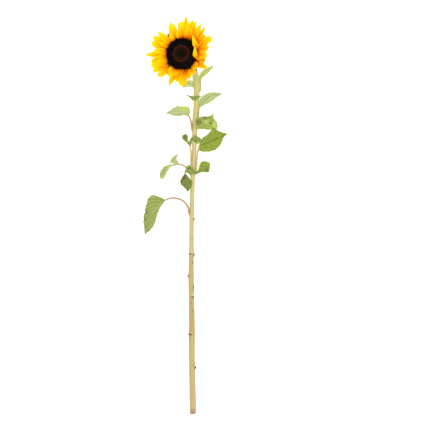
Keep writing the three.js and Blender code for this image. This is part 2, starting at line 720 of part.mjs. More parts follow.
// The disc's florets stand in three belts: the black outer one, a brown ring and the dark heart. Each
// profile goes round its belt as a radius and a height.
const RIM_PROFILE = [
  [RIM_INNER, DISC_FLOOR], [DISC_RADIUS - 0.6, DISC_FLOOR], [DISC_RADIUS, 0.6], [DISC_RADIUS - 1.2, 2.8],
  [23, 5.2], [RIM_INNER, 6.6], [RIM_INNER, DISC_FLOOR],
];
const RING_PROFILE = [
  [HEART_GAP, DISC_FLOOR], [RING_OUTER, DISC_FLOOR], [RING_OUTER, 7], [(RING_OUTER + RING_INNER) / 2, 8.2],
  [HEART_GAP, 7.8], [HEART_GAP, DISC_FLOOR],
];
const HEART_PROFILE = [[0, DISC_FLOOR], [RING_INNER, DISC_FLOOR], [RING_INNER, 7.2], [7, 7], [0, 6.4]];

function discBelts() {
  return [
    namedMesh("disc_outer_florets", turnedGeometry(RIM_PROFILE), FLORET_COLOUR, 0.9),
    namedMesh("disc_ring_florets", turnedGeometry(RING_PROFILE), FLORET_RING_COLOUR, 0.9),
    namedMesh("disc_heart_florets", turnedGeometry(HEART_PROFILE), FLORET_HEART_COLOUR, 0.9),
  ];
}

// A bract springs from the side of the receptacle and hangs outward.
function bractGeometry(index) {
  const clock = (360 * index) / BRACT_COUNT;
  const inner = index % 2;
  const fromLow = Math.abs(((clock - LOWEST_RIM_CLOCK + 540) % 360) - 180);
  const lift = THREE.MathUtils.smoothstep(fromLow, LIFT_STARTS, LIFT_ENDS);
  const reach = THREE.MathUtils.lerp(BRACT_REACH, HIGH_BRACT_REACH, lift) + INNER_BRACT_REACH * inner;
  const offset = planDirection(clock).multiplyScalar(reach);
  offset.z = BRACT_TIP_REST + (BRACT_TIP_LIFT + INNER_TIP_RISE * inner) * lift - HEAD_CENTRE.z;
  const tip = headPointAt(offset);
  const end = new THREE.Vector3(Math.hypot(tip.x, tip.y), 0, tip.z);
  const [root, pull] = [BRACT_ROOT, BRACT_PULL].map(([radius, height]) => (
    new THREE.Vector3(radius, 0, height + INNER_BRACT_RISE * inner)));
  const geometry = lanceGeometry(bezier(root, pull, end), {
    width: BRACT_WIDTH, rootWidth: BRACT_ROOT_WIDTH, thickness: BRACT_THICKNESS, widest: BRACT_WIDEST,
    cup: BRACT_CUP, columns: BRACT_COLUMNS, acrossRoot: new THREE.Vector3(0, 1, 0),
  });
  geometry.rotateZ(Math.atan2(tip.y, tip.x));
  return geometry;
}

// The receptacle's profile from its back to its top, as a radius and a height from the disc's edge.
const RECEPTACLE_PROFILE = [
  [0, -RECEPTACLE_DEPTH], [NECK_RADIUS + 0.6, -RECEPTACLE_DEPTH], [10, -18], [17, -14.6], [24, -10.6],
  [28.6, -7], [RECEPTACLE_RADIUS, RECEPTACLE_TOP - 1.2], [RECEPTACLE_RADIUS - 0.8, RECEPTACLE_TOP],
  [0, RECEPTACLE_TOP],
];

function calyx() {
  let solid = solidOf(turnedGeometry(RECEPTACLE_PROFILE));
  for (let index = 0; index < BRACT_COUNT; index += 1) {
    solid = solid.add(solidOf(bractGeometry(index)));
  }
  return namedMesh("calyx", geometryOf(solid), CALYX_COLOUR, 0.7);
}

function bloom() {
  const head = new THREE.Group();
  head.position.copy(HEAD_CENTRE);
  head.quaternion.copy(headTurn);
  head.add(calyx(), ...discBelts());
  PETALS.forEach((shape, index) => head.add(petal(index, shape)));
  LEANING_PETALS.forEach((shape, index) => head.add(leaningPetal(PETALS.length + index, shape)));
  return head;
}

// The whole plant, moved so that its origin is under the middle of its outer box

const plant = new THREE.Group();
plant.add(stem());
STALKS.forEach((shape) => plant.add(stalk(shape)));
LEAVES.forEach((shape) => plant.add(leaf(shape)));
plant.add(bloom());

const sunflower = new THREE.Group();
sunflower.add(plant);
const box = new THREE.Box3().setFromObject(plant, true);
const middle = box.getCenter(new THREE.Vector3());
plant.position.set(-middle.x, -middle.y, -box.min.z);

export default sunflower;
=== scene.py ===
# The looks of a cut sunflower that lies on its back: stem, stalks, leaves, calyx, petals and disc.
# The tables are in millimetres from the middle of the stem's cut end, with heights from the surface
# that it lies on. Every piece is in metres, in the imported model's frame: +Y runs from the cut end to the
# bloom, +X is to the right and +Z is up.

import json
import math

import bpy
import numpy as np
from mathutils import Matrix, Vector


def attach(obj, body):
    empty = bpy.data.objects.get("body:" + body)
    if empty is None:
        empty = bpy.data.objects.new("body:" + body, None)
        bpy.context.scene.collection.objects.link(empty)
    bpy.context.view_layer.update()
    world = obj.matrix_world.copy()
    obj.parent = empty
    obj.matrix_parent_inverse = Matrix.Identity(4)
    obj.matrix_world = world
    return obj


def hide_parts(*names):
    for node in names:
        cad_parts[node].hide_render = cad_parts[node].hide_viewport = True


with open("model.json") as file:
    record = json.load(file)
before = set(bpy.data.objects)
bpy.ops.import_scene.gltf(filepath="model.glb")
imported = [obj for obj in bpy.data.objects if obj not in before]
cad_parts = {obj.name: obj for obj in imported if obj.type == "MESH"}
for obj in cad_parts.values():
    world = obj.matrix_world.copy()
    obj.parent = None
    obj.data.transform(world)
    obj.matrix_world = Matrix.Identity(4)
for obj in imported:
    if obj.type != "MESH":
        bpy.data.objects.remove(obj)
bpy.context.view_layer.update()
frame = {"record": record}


def srgb(red, green, blue):
    """A colour given as it shows on a screen, from 0 to 255."""
    shares = [channel / 255 for channel in (red, green, blue)]
    linear = [share / 12.92 if share <= 0.04045 else ((share + 0.055) / 1.055) ** 2.4 for share in shares]
    return (*linear, 1.0)


# Driving sizes

MM = 0.001
CUT_END = next(mount for mount in frame["record"]["mounts"] if mount["name"] == "cut_end")["pos_m"]
ORIGIN = np.array([CUT_END[0], CUT_END[1], 0.0])

HEAD_CENTRE = np.array([-19.0, 632.0, 40.0])
HEAD_AXIS = Vector((-0.27, 0.15, 0.951)).normalized()
DISC_RADIUS = 28.4
RECEPTACLE_DEPTH = 20.0
NECK_RADIUS = 6.2
UP = np.array([0.0, 0.0, 1.0])
SURFACE_GAP = 0.3

STEM_AXIS_HEIGHT = 5.3

# The stem's middle line, from the cut end to the back of the bloom: across, along and radius where it
# lies, then across, along, height and radius where it bends up
neck_end = HEAD_CENTRE - np.array(HEAD_AXIS) * RECEPTACLE_DEPTH
neck_below = neck_end - np.array(HEAD_AXIS) * 5
LYING_STEM = [
    (0, -0.8, 4.7), (0, 15, 5.3), (-1.0, 62, 4.95), (-1.8, 112, 4.75), (-1.6, 147, 4.9), (-2.3, 195, 4.4),
    (-3.1, 238, 4.4), (-2.7, 282, 3.95), (-2.4, 325, 3.7), (-1.7, 365, 3.6), (-0.4, 411, 3.45),
    (1.6, 450, 3.35), (2.8, 486, 3.9), (3.6, 512, 4.3), (5.4, 540, 4.3), (6.4, 562, 4.7), (6.0, 581, 5.2),
    (4.2, 596, 5.0),
]
RISING_STEM = [
    (1.0, 607.5, 5.5, 4.7), (-3.6, 617, 6.6, 4.7), (-8.8, 624.4, 9.8, 4.9), (*neck_below, 5.4),
    (*neck_end, NECK_RADIUS),
]
STEM = [(x, y, STEM_AXIS_HEIGHT, radius) for x, y, radius in LYING_STEM] + RISING_STEM

# Stubs of cut leaf stalks: height up the stem, turn about it from its right-hand side, radius, length
STUBS = [
    (78, 0, 2.7, 2.6), (137.2, 180, 2.4, 2.0), (238.5, 180, 2.1, 3.0), (277, 10, 2.5, 2.6),
    (339, 15, 2.2, 2.7),
]

STALKS = {
    "leaf_stalk_05": ([1.3, 1.0], [
        [1.0, 494, 5.3], [-1.9, 501, 5.9], [-2.9, 509.5, 6.5], [-4.6, 518, 7], [-7, 522.7, 7.2]]),
    "leaf_stalk_07": ([1.3, 1.0], [
        [0.4, 428, 5.3], [-3.0, 438, 5.9], [-3.5, 449, 6.5], [-3.7, 460, 7.6], [-5.1, 470.4, 8.6]]),
    "leaf_stalk_08": ([1.4, 1.1], [
        [2.2, 420.8, 6.6], [5.6, 430.5, 6.9], [6.4, 441, 6.7], [7.2, 451.8, 7.1], [8.8, 461, 7.6],
        [11.2, 470.7, 8.1]]),
    "leaf_stalk_09": ([1.3, 1.0], [
        [-0.4, 423.4, 4.6], [-4.2, 427.4, 5.0], [-8.4, 431, 5.9], [-13.8, 434.4, 7], [-20, 437.5, 7.5],
        [-27, 438.8, 7.5], [-35.8, 437.1, 7.1]]),
    "leaf_stalk_12": ([1.1, 0.9], [
        [-0.6, 417.5, 5.9], [-5.0, 421.4, 7.2], [-8.9, 426.5, 8.4], [-12, 427.9, 8.6],
        [-13.7, 425.4, 8.7], [-13.7, 422.0, 8.8]]),
    "leaf_stalk_13": ([1.6, 1.0], [
        [-2.0, 341, 5.3], [-6.6, 353, 5.7], [-8.6, 362, 6.2], [-13.4, 370.4, 7], [-22, 376.5, 7.8],
        [-33.5, 379.3, 8], [-43, 377.8, 7.2], [-49, 375.4, 6.2]]),
}

# Leaf blades, numbered down the stem. The rib runs from the stalk's end to the leaf's tip. Left and
# right hold the half widths seen from above, at even steps along the rib, and the heights those of the
# margins. A look names the side that is turned up, and its colours and folds.
LEAVES = {
    "leaf_01": dict(
        rib=[[7.0, 560, 5.4], [12.6, 568.5, 5.9], [13.5, 579.5, 6.5], [13.0, 589.6, 6.6], [19, 598, 7],
             [27.5, 605, 6], [36.9, 612.1, 4]],
        left=[1.4, 1.4, 1.4, 3.4, 4.8, 3.4, 0.4], left_height=[5.4, 6.4, 8.5, 8.5, 4.2],
        right=[1.4, 1.4, 1.4, 2.6, 4.4, 3.4, 0.4], right_height=[5.4, 6.4, 5, 3.6, 3.6],
        look="pale", veins=5, crumple=0.3, bare=0.38, bare_colour=srgb(196, 204, 142),
        marks=[(22, 598, 8, "bright"), (15, 590, 6, "bright"), (32, 608, 7, "bright")]),
    "leaf_02": dict(
        rib=[[4.2, 574, 5.6], [-1.5, 578, 7], [-8, 579.5, 8], [-17.9, 573.7, 6]],
        left=[1.2, 3.6, 4.6, 3.2, 0.4], left_height=[5.6, 5, 4, 5.5],
        right=[1.2, 5.4, 6.8, 5, 0.4], right_height=[5.6, 8.4, 9, 7],
        look="pale", veins=4, crumple=0.8,
        marks=[(-8, 576, 7, "light"), (-3, 582, 6, "light"), (-13, 579, 7, "light")]),
    "leaf_03": dict(
        rib=[[-11, 560.3, 8.2], [-4, 556.9, 10.6], [4, 555.6, 11.6], [14.6, 558.4, 10.4]],
        left=[0.4, 1.7, 2.6, 2.6, 0.4], left_height=[8.4, 11.2, 12.2, 11.6, 10.6],
        right=[0.4, 1.4, 5.2, 2.2, 0.4], right_height=[8, 10.3, 10.45, 10.8, 10.2],
        look="dull", veins=4, crumple=0.4),
    "leaf_04": dict(
        rib=[[4.8, 513.5, 5.5], [9.9, 526, 6], [10.9, 538, 6.5], [17, 547, 8], [27.9, 554.8, 7.4],
             [40, 560, 3.8], [51.5, 562.7, 0.9]],
        left=[1.1, 1.1, 2.4, 7.8, 8.6, 5.4, 0.4], left_height=[5.5, 6.3, 7.4, 6, 1],
        right=[1.1, 1.1, 1.6, 5.8, 7.6, 4.6, 0.4], right_height=[5.5, 6, 2.6, 0.8, 0.8],
        look="pale", veins=7, crumple=0.4,
        bare=0.3, marks=[(36, 549, 5, "bright"), (25, 542, 5, "bright"), (14, 535, 5, "bright")]),
    "leaf_05": dict(
        rib=[[-7.4, 523.1, 7.4], [-15, 528.5, 8], [-26.5, 530.2, 7], [-38, 529.8, 3.6], [-48, 528.2, 1]],
        left=[0.8, 3, 5.2, 6.6, 6.2, 2.8, 0.4], left_height=[6.8, 3.5, 1.4, 0.8],
        right=[2.4, 12, 10, 10.4, 7.6, 2.8, 0.4], right_height=[7.8, 12, 8, 1.2],
        look="pale", veins=7, crumple=0.5,
        marks=[(-14, 537, 7, "bright"), (-20, 522, 5, "shade")]),
    "leaf_06": dict(
        rib=[[5.2, 502.6, 10], [11.2, 506.8, 10.6], [21.7, 513.6, 10], [30, 520, 8], [37.4, 528.8, 5]],
        left=[1.4, 10.4, 12.2, 9.6, 5.0, 1.5, 0.4], left_height=[10.2, 13, 13, 10, 5.2],
        right=[3.6, 5.0, 7.2, 9.8, 12.6, 15.0, 17.4, 20, 22.0, 16.5, 5.0, 1.1, 0.4],
        right_height=[9.8, 8, 3.4, 0.8, 4.4],
        look="fresh", veins=6, crumple=1.7,
        marks=[(10, 513, 7, "shade"), (21, 520, 5, "shade"), (30, 521, 4, "green"),
               (23, 514, 4, "light"), (14, 505, 4, "grey"), (31, 512, 3, "shade"),
               (38, 508, 4, "light")]),
    "leaf_07": dict(
        rib=[[-4.1, 471.7, 9.1], [-3.4, 478.4, 11], [2.5, 483.3, 12.3], [9.5, 480.7, 12.3],
             [18.5, 477, 11.8]],
        left=[0.5, 3.4, 5.2, 4.8, 1], left_height=[9.2, 12, 13, 12.7, 12],
        right=[0.5, 3, 5, 6.2, 1], right_height=[9.2, 10.6, 11, 11, 11.6],
        look="dull", veins=5, crumple=0.9,
        marks=[(-1, 478, 2, "light"), (4, 480, 2.4, "shade"), (10, 476, 2.5, "light"),
               (-4, 475, 2, "shade")]),
    "leaf_07_curl": dict(
        rib=[[-5.9, 471.3, 8.9], [-8.6, 477, 9.5], [-12.1, 481.5, 9], [-16.2, 490.6, 8]],
        left=[0.9, 2.2, 3.0, 5.2, 3.6], left_height=[9, 10, 12, 14, 13],
        right=[0.9, 1.9, 2.7, 5.4, 3.6], right_height=[9, 10.5, 12.5, 15, 14],
        look="dull", veins=4, crumple=0.9,
        marks=[(-19, 488, 2.4, "light"), (-14, 486, 2.4, "shade"), (-10, 479, 2, "light")]),
    "leaf_08": dict(
        rib=[[12.1, 472, 8.5], [22, 475.5, 9.4], [35.7, 480.8, 8], [48, 486.5, 4], [59.9, 492.6, 1]],
        left=[1.2, 10.4, 12.6, 16.4, 18.2, 8, 0.4], left_height=[8.8, 10, 8.6, 4, 1],
        right=[8.2, 14.4, 16.4, 15.6, 10.8, 3.8, 0.4], right_height=[6.8, 2, 0.8, 0.8, 0.8],
        # Its dark rib colour is painted shade along the midrib.
        look="vivid", veins=7, crumple=0.6, lobes=(0.0, 5.0), stripes=0.3, rib_colour=srgb(92, 116, 22),
        marks=[(15, 478, 7, "grey"), (22, 470, 5, "green"), (40, 483, 4, "green")]),
    "leaf_09": dict(
        rib=[[-36.5, 436.8, 7], [-42, 435, 8], [-48, 430, 8], [-52.5, 423, 6], [-55.8, 413, 1.6]],
        left=[1.2, 3.6, 5, 5.4, 2.8], left_height=[6.4, 4, 2.4, 0.9, 0.8],
        right=[1.2, 3.6, 5.4, 5.4, 2.4], right_height=[6.4, 4, 2.2, 0.9, 0.8],
        look="pale", veins=7, crumple=0.5,
        marks=[(-44, 435, 5, "bright"), (-49, 431, 5, "grey"), (-55, 421, 4, "grey"),
               (-51, 426, 3, "green")]),
    "leaf_09_wing": dict(
        rib=[[-33, 440.3, 9.3], [-32.4, 448, 11.4], [-26.3, 457, 10.4]],
        left=[8.2, 6.4, 4.4, 2, 0.4], left_height=[8.8, 9, 9.6],
        right=[8.2, 5.6, 3.4, 1.8, 0.4], right_height=[9.2, 10.4, 10.4],
        look="pale", veins=4, crumple=0.3),
    "leaf_10": dict(
        rib=[[2.0, 420.4, 4.4], [6.8, 423.4, 5.2], [10.8, 426.5, 6.2], [17.7, 431.6, 7.5], [24, 436, 7],
             [30, 439.5, 5.5]],
        left=[1.6, 1.9, 3.0, 7.2, 10.6, 8.6, 2.4], left_height=[4.4, 6.4, 11, 11.6, 9],
        right=[1.6, 1.9, 3.6, 6.4, 10.4, 7.6, 1.5], right_height=[4.4, 5, 2.4, 0.9, 2],
        look="vivid", veins=6, crumple=1.2, bare=0.12, bare_colour=srgb(150, 140, 70),
        marks=[(26, 428, 7, "shade"), (7, 424, 5, "shade"), (28, 440, 4, "grey"),
               (20, 433, 3, "grey")]),
    "leaf_11": dict(
        rib=[[4.4, 423.8, 10.6], [-3.8, 428, 12.2], [-12.6, 431.6, 12]],
        left=[1.4, 5.6, 7.0, 6.4, 3.0], left_height=[10.2, 9.75, 10.6, 12.2, 12.2],
        right=[1.4, 3.6, 5.8, 9.0, 3.8], right_height=[10.8, 12.8, 14.4, 14.4, 12.8],
        look="dull", veins=5, crumple=2.0, teeth=6, ragged=0.16,
        marks=[(-10.5, 435, 2.6, "bright"), (-12, 430, 2, "light"), (-5, 427, 1.4, "light"),
               (-6, 431, 2.8, "shade"), (2, 424, 3, "shade"), (-1, 421.5, 2, "bright")]),
    "leaf_12": dict(
        rib=[[-13.6, 421.4, 9], [-12.6, 413, 10.2], [-11.2, 402, 9.4], [-8.8, 390.3, 7.6]],
        left=[1.4, 6, 10.6, 7.6, 0.4], left_height=[9.2, 10, 10.2, 9.8, 7.8],
        right=[1.4, 8, 10, 4.4, 0.4], right_height=[8.8, 6.4, 3.4, 5, 7.4],
        look="dark", veins=6, crumple=0.6,
        marks=[(-21.5, 410, 5.5, "brown"), (-15.5, 415.5, 4.5, "brown"), (-12.5, 420, 3, "brown")]),
    "leaf_13": dict(
        rib=[[-49.6, 375.1, 6.2], [-61.3, 365, 8.4], [-71.4, 351.1, 8], [-78, 336.5, 5],
             [-84.6, 315.3, 0.9]],
        left=[1, 3.8, 6.8, 9.4, 10.6, 7.8, 0.4], left_height=[5.4, 2.2, 0.8, 0.8, 0.8],
        right=[5, 21.6, 18.6, 13.8, 10, 5, 0.4], right_height=[6, 2.6, 0.8, 0.8, 0.8],
        look="meadow", veins=9, crumple=0.5,
        marks=[(-82, 354, 3.4, "black"), (-84, 342, 3, "shade")], notch=(0.505, 0.24)),
}

# Petals, clockwise from the first one past the top: the clock angle of the tip seen from above, its
# reach from the middle of the disc, the petal's width, and how blunt its tip is from 0 to 1
PETALS = [
    (6, 67.5, 6.5, 0.8), (12, 60, 9.5, 0.6), (17.5, 62, 9.5, 0.7), (23, 64, 10, 0.6), (33.5, 63.5, 12, 0.5),
    (42.5, 63, 10.5, 0.7), (51, 53, 12, 0.7), (62, 59, 13.5, 1.0), (68.5, 50, 12, 0.7),
    (76, 48.5, 13, 0.8), (93, 45, 13.5, 0.9), (107, 44, 13.5, 0.8), (120.5, 52.5, 14, 0.3),
    (137, 38.5, 11, 0.7), (149, 42, 11.5, 0.7), (164, 47, 12.5, 0.7), (178, 59, 14.5, 1.0),
    (190, 50, 12.5, 0.6), (202, 62, 12.5, 0.4), (210, 48, 12.5, 0.6), (226, 58, 14, 0.8),
    (239.5, 60, 14.5, 0.8), (248.5, 59, 13, 0.8), (256, 56.5, 12.5, 0.8), (269, 65, 13.5, 0.3),
    (277.5, 50.5, 13, 0.7), (290.5, 59, 14, 0.9), (301, 60, 14, 0.6), (312, 58.5, 12.5, 0.4),
    (319, 39, 12.5, 0.7), (339, 59.5, 15.5, 0.6), (359, 56.5, 14.5, 1.0),
]

# How much more orange single petals are than their neighbours, and how much further than the others the
# under-petal after a petal reaches, both by the petal's number
WARMER_PETALS = {
    1: -0.15, 2: -0.2, 3: -0.2, 4: -0.15, 5: -0.12, 6: -0.1, 13: 0.1, 14: -0.1, 16: -0.05, 17: 0.25, 19: 0.4,
    21: 0.15, 31: -0.28, 32: -0.25,
}
UNDER_PETAL_REACHES = {30: 1.28, 31: 0.84}

# Two narrow petals that lean along the disc's edge: root clock, tip clock, reach, height, width
LEANING_PETALS = [(76, 29, 37.5, 17, 8.5), (112, 61, 25.5, 14.5, 9.5)]

# Rows and columns of the blades that are joined into one piece
UNDER_PETAL_GRID = (48, 23)
BRACT_GRID = (44, 19)

PETAL_ROOT_WIDTH = 5.5
PETAL_ROOT_RADIUS = DISC_RADIUS + 0.5
PETAL_ROOT_HEIGHT = -0.9
PETAL_MEAN_RISE = 29.0
PETAL_RISE_SWING = 12.0
STEEPEST_PETAL_CLOCK = 100.0
TIER_STEP = 1.35
TIER_TURN = 5.5
PETAL_TUCK = 1.9
PETAL_THICKNESS = 0.3

# Shapes as arrays of places


def unit(vectors):
    return vectors / np.maximum(np.linalg.norm(vectors, axis=-1, keepdims=True), 1e-12)


def smooth_through(knots, points, at):
    """Values on the smooth line that passes through the points at their knots."""
    steps = np.diff(knots)[:, None]
    chords = np.diff(points, axis=0) / steps
    inner = (chords[:-1] * steps[1:] + chords[1:] * steps[:-1]) / (steps[:-1] + steps[1:])
    slopes = np.concatenate([chords[:1], inner, chords[-1:]])
    span = np.clip(np.searchsorted(knots, at, side="right") - 1, 0, len(steps) - 1)
    width = steps[span]
    t = (at - knots[span])[:, None] / width
    start = (2 * t ** 3 - 3 * t ** 2 + 1) * points[span] + (t ** 3 - 2 * t ** 2 + t) * width * slopes[span]
    end = (3 * t ** 2 - 2 * t ** 3) * points[span + 1] + (t ** 3 - t ** 2) * width * slopes[span + 1]
    return start + end


def smooth_line(points, count):
    """Evenly spaced places on a smooth line through the points. Columns past the third go along."""
    points = np.asarray(points, float)
    steps = np.linalg.norm(np.diff(points[:, :3], axis=0), axis=1) ** 0.5
    knots = np.concatenate([[0], np.cumsum(steps)])
    fine = smooth_through(knots, points, np.linspace(0, knots[-1], 1200))
    lengths = np.concatenate([[0], np.cumsum(np.linalg.norm(np.diff(fine[:, :3], axis=0), axis=1))])
    even = np.linspace(0, lengths[-1], count)
    return np.stack([np.interp(even, lengths, column) for column in fine.T], axis=1)


def smooth_values(values, at):
    """The value of a list of evenly spaced numbers at fractions of its length."""
    values = np.asarray(values, float)
    return smooth_through(np.arange(len(values)), values[:, None], at * (len(values) - 1))[:, 0]


def step_between(low, high, x):
    """0 below low and 1 above high, and smooth between them. It works on arrays and on sockets."""
    share = (x - low) / (high - low)
    share = share.held() if isinstance(share, Value) else np.clip(share, 0, 1)
    return share * share * (3 - 2 * share)


def waves(places, rng, size, count=10):
    """An even random swell over places, from -1 to 1, with hills about the given size apart."""
    total = np.zeros(places.shape[:-1])
    for _ in range(count):
        direction = unit(rng.normal(size=3)) * (2 * math.pi / size) * rng.uniform(0.6, 1.5)
        total += np.sin(places @ direction + rng.uniform(0, 2 * math.pi))
    return total / math.sqrt(count)


def normals_of(places):
    """The outward direction at each place of a sheet of rows and columns."""
    return unit(np.cross(np.gradient(places, axis=1), np.gradient(places, axis=0)))


def tube_places(line, radii, sides, reference):
    """Rings about a line. The first column of a ring lies opposite the reference direction."""
    along = unit(np.gradient(line, axis=0))
    side = unit(reference - along * (along @ reference)[:, None])
    front = np.cross(along, side)
    angles = np.linspace(0, 2 * math.pi, sides + 1)[None, :, None] + math.pi
    ring = side[:, None] * np.cos(angles) + front[:, None] * np.sin(angles)
    return line[:, None] + radii[..., None] * ring


def flat_point(x, y):
    """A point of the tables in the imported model's frame, seen from above."""
    return (x * MM + ORIGIN[0], y * MM + ORIGIN[1])


# Pieces


def select_only(*pieces):
    bpy.ops.object.select_all(action="DESELECT")
    for piece in pieces:
        piece.select_set(True)
    bpy.context.view_layer.objects.active = pieces[0]


def apply_modifier(piece, kind, **settings):
    modifier = piece.modifiers.new(kind.title(), kind)
    for key, value in settings.items():
        setattr(modifier, key, value)
    select_only(piece)
    bpy.ops.object.modifier_apply(modifier=modifier.name)


def shaped_grid(name, places):
    """A grid with its corners moved to places in millimetres, as rows of columns. Its map runs across
    the columns and along the rows."""
    rows, columns = places.shape[:2]
    bpy.ops.object.select_all(action="DESELECT")
    bpy.ops.mesh.primitive_grid_add(x_subdivisions=columns - 1, y_subdivisions=rows - 1, size=1)
    piece = bpy.context.object
    piece.name = piece.data.name = name
    corners = np.empty(rows * columns * 3)
    piece.data.vertices.foreach_get("co", corners)
    corners = corners.reshape(-1, 3) + 0.5
    row = np.rint(corners[:, 1] * (rows - 1)).astype(int)
    column = np.rint(corners[:, 0] * (columns - 1)).astype(int)
    piece.data.vertices.foreach_set("co", (places[row, column] * MM + ORIGIN).ravel())
    piece.data.update()
    return piece


def close_tube(piece):
    """Joins the first and last column of a tube and closes its ends."""
    select_only(piece)
    bpy.ops.object.mode_set(mode="EDIT")
    bpy.ops.mesh.select_all(action="SELECT")
    bpy.ops.mesh.remove_doubles(threshold=1e-6)
    bpy.ops.mesh.select_all(action="DESELECT")
    bpy.ops.mesh.select_mode(type="EDGE")
    bpy.ops.mesh.select_non_manifold()
    bpy.ops.mesh.edge_face_add()
    bpy.ops.object.mode_set(mode="OBJECT")
    return piece


def tube(name, line, radii, sides):
    return close_tube(shaped_grid(name, tube_places(line, radii, sides, UP)))


def joined(name, pieces):
    select_only(*pieces)
    if len(pieces) > 1:
        bpy.ops.object.join()
    piece = bpy.context.object
    piece.name = piece.data.name = name
    return piece


def stacked(name, sides, rings):
    """A turned shape about +Z in millimetres: a closed ring is extruded to each height and radius."""
    bpy.ops.object.select_all(action="DESELECT")
    (height, radius), *others = rings
    bpy.ops.mesh.primitive_circle_add(
        vertices=sides, radius=radius, fill_type="NGON", location=(0, 0, height))
    bpy.ops.object.transform_apply(location=True)
    piece = bpy.context.object
    piece.name = piece.data.name = name
    bpy.ops.object.mode_set(mode="EDIT")
    bpy.ops.mesh.select_all(action="SELECT")
    for next_height, next_radius in others:
        bpy.ops.mesh.extrude_region_move(TRANSFORM_OT_translate={"value": (0, 0, next_height - height)})
        scale = next_radius / radius
        bpy.ops.transform.resize(value=(scale, scale, 1), center_override=(0, 0, next_height))
        height, radius = next_height, next_radius
    bpy.ops.mesh.select_all(action="SELECT")
    bpy.ops.mesh.normals_make_consistent(inside=False)
    bpy.ops.object.mode_set(mode="OBJECT")
    return piece


def scattered(name, models, places, frames, sizes, picks):
    """One mesh of many copies of small models. A copy has a place in millimetres, a frame of three
    directions, a size and the number of its model. The models are used up."""
    shapes = []
    for model in models:
        corners = np.array([vertex.co for vertex in model.data.vertices])
        shapes.append((corners, [tuple(polygon.vertices) for polygon in model.data.polygons]))
    corners, faces, start = [], [], 0
    for place, turn, size, pick in zip(places, frames, sizes, picks):
        shape, polygons = shapes[pick]
        corners.append((shape * size) @ turn + place)
        faces += [tuple(corner + start for corner in polygon) for polygon in polygons]
        start += len(shape)
    mesh = bpy.data.meshes.new(name)
    mesh.from_pydata((np.concatenate(corners) * MM + ORIGIN).tolist(), [], faces)
    piece = bpy.data.objects.new(name, mesh)
    bpy.context.scene.collection.objects.link(piece)
    for model in models:
        bpy.data.objects.remove(model)
    return piece


def frames_along(directions, turns):
    """For each direction a frame whose third row is that direction, turned about it by an angle."""
    directions = unit(directions)
    helper = np.where(np.abs(directions[:, 2:]) < 0.9, [[0.0, 0.0, 1.0]], [[1.0, 0.0, 0.0]])
    first = unit(np.cross(helper, directions))
    second = np.cross(directions, first)
    cos, sin = np.cos(turns)[:, None], np.sin(turns)[:, None]
    return np.stack([first * cos + second * sin, second * cos - first * sin, directions], axis=1)


def finished(piece, finish=None, replaces=(), smooth_angle=50):
    """Gives a piece its finish, smooth faces and its place on the plant."""
    if finish:
        piece.data.materials.append(finish)
    select_only(piece)
    bpy.ops.object.shade_smooth_by_angle(angle=math.radians(smooth_angle))
    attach(piece, "root")
    if replaces:
        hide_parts(*replaces)
    return piece


# Finishes


def joining(operation, swapped=False):
    """A method that joins a socket and another value in a math node."""
    def method(self, other):
        return self.math(operation, *((other, self) if swapped else (self, other)))
    return method


class Value:
    """A shader socket that sums and products can be written on."""

    def __init__(self, finish, socket):
        self.finish = finish
        self.socket = socket

    def math(self, operation, *terms, **settings):
        return self.finish.node("ShaderNodeMath", dict(enumerate(terms)), operation=operation, **settings)

    def __abs__(self):
        return self.math("ABSOLUTE", self)

    def held(self):
        return self.math("ADD", self, 0.0, use_clamp=True)

    __add__ = joining("ADD")
    __sub__ = joining("SUBTRACT")
    __rsub__ = joining("SUBTRACT", swapped=True)
    __mul__ = joining("MULTIPLY")
    __rmul__ = joining("MULTIPLY")
    __truediv__ = joining("DIVIDE")
    __mod__ = joining("FLOORED_MODULO")
    __gt__ = joining("GREATER_THAN")


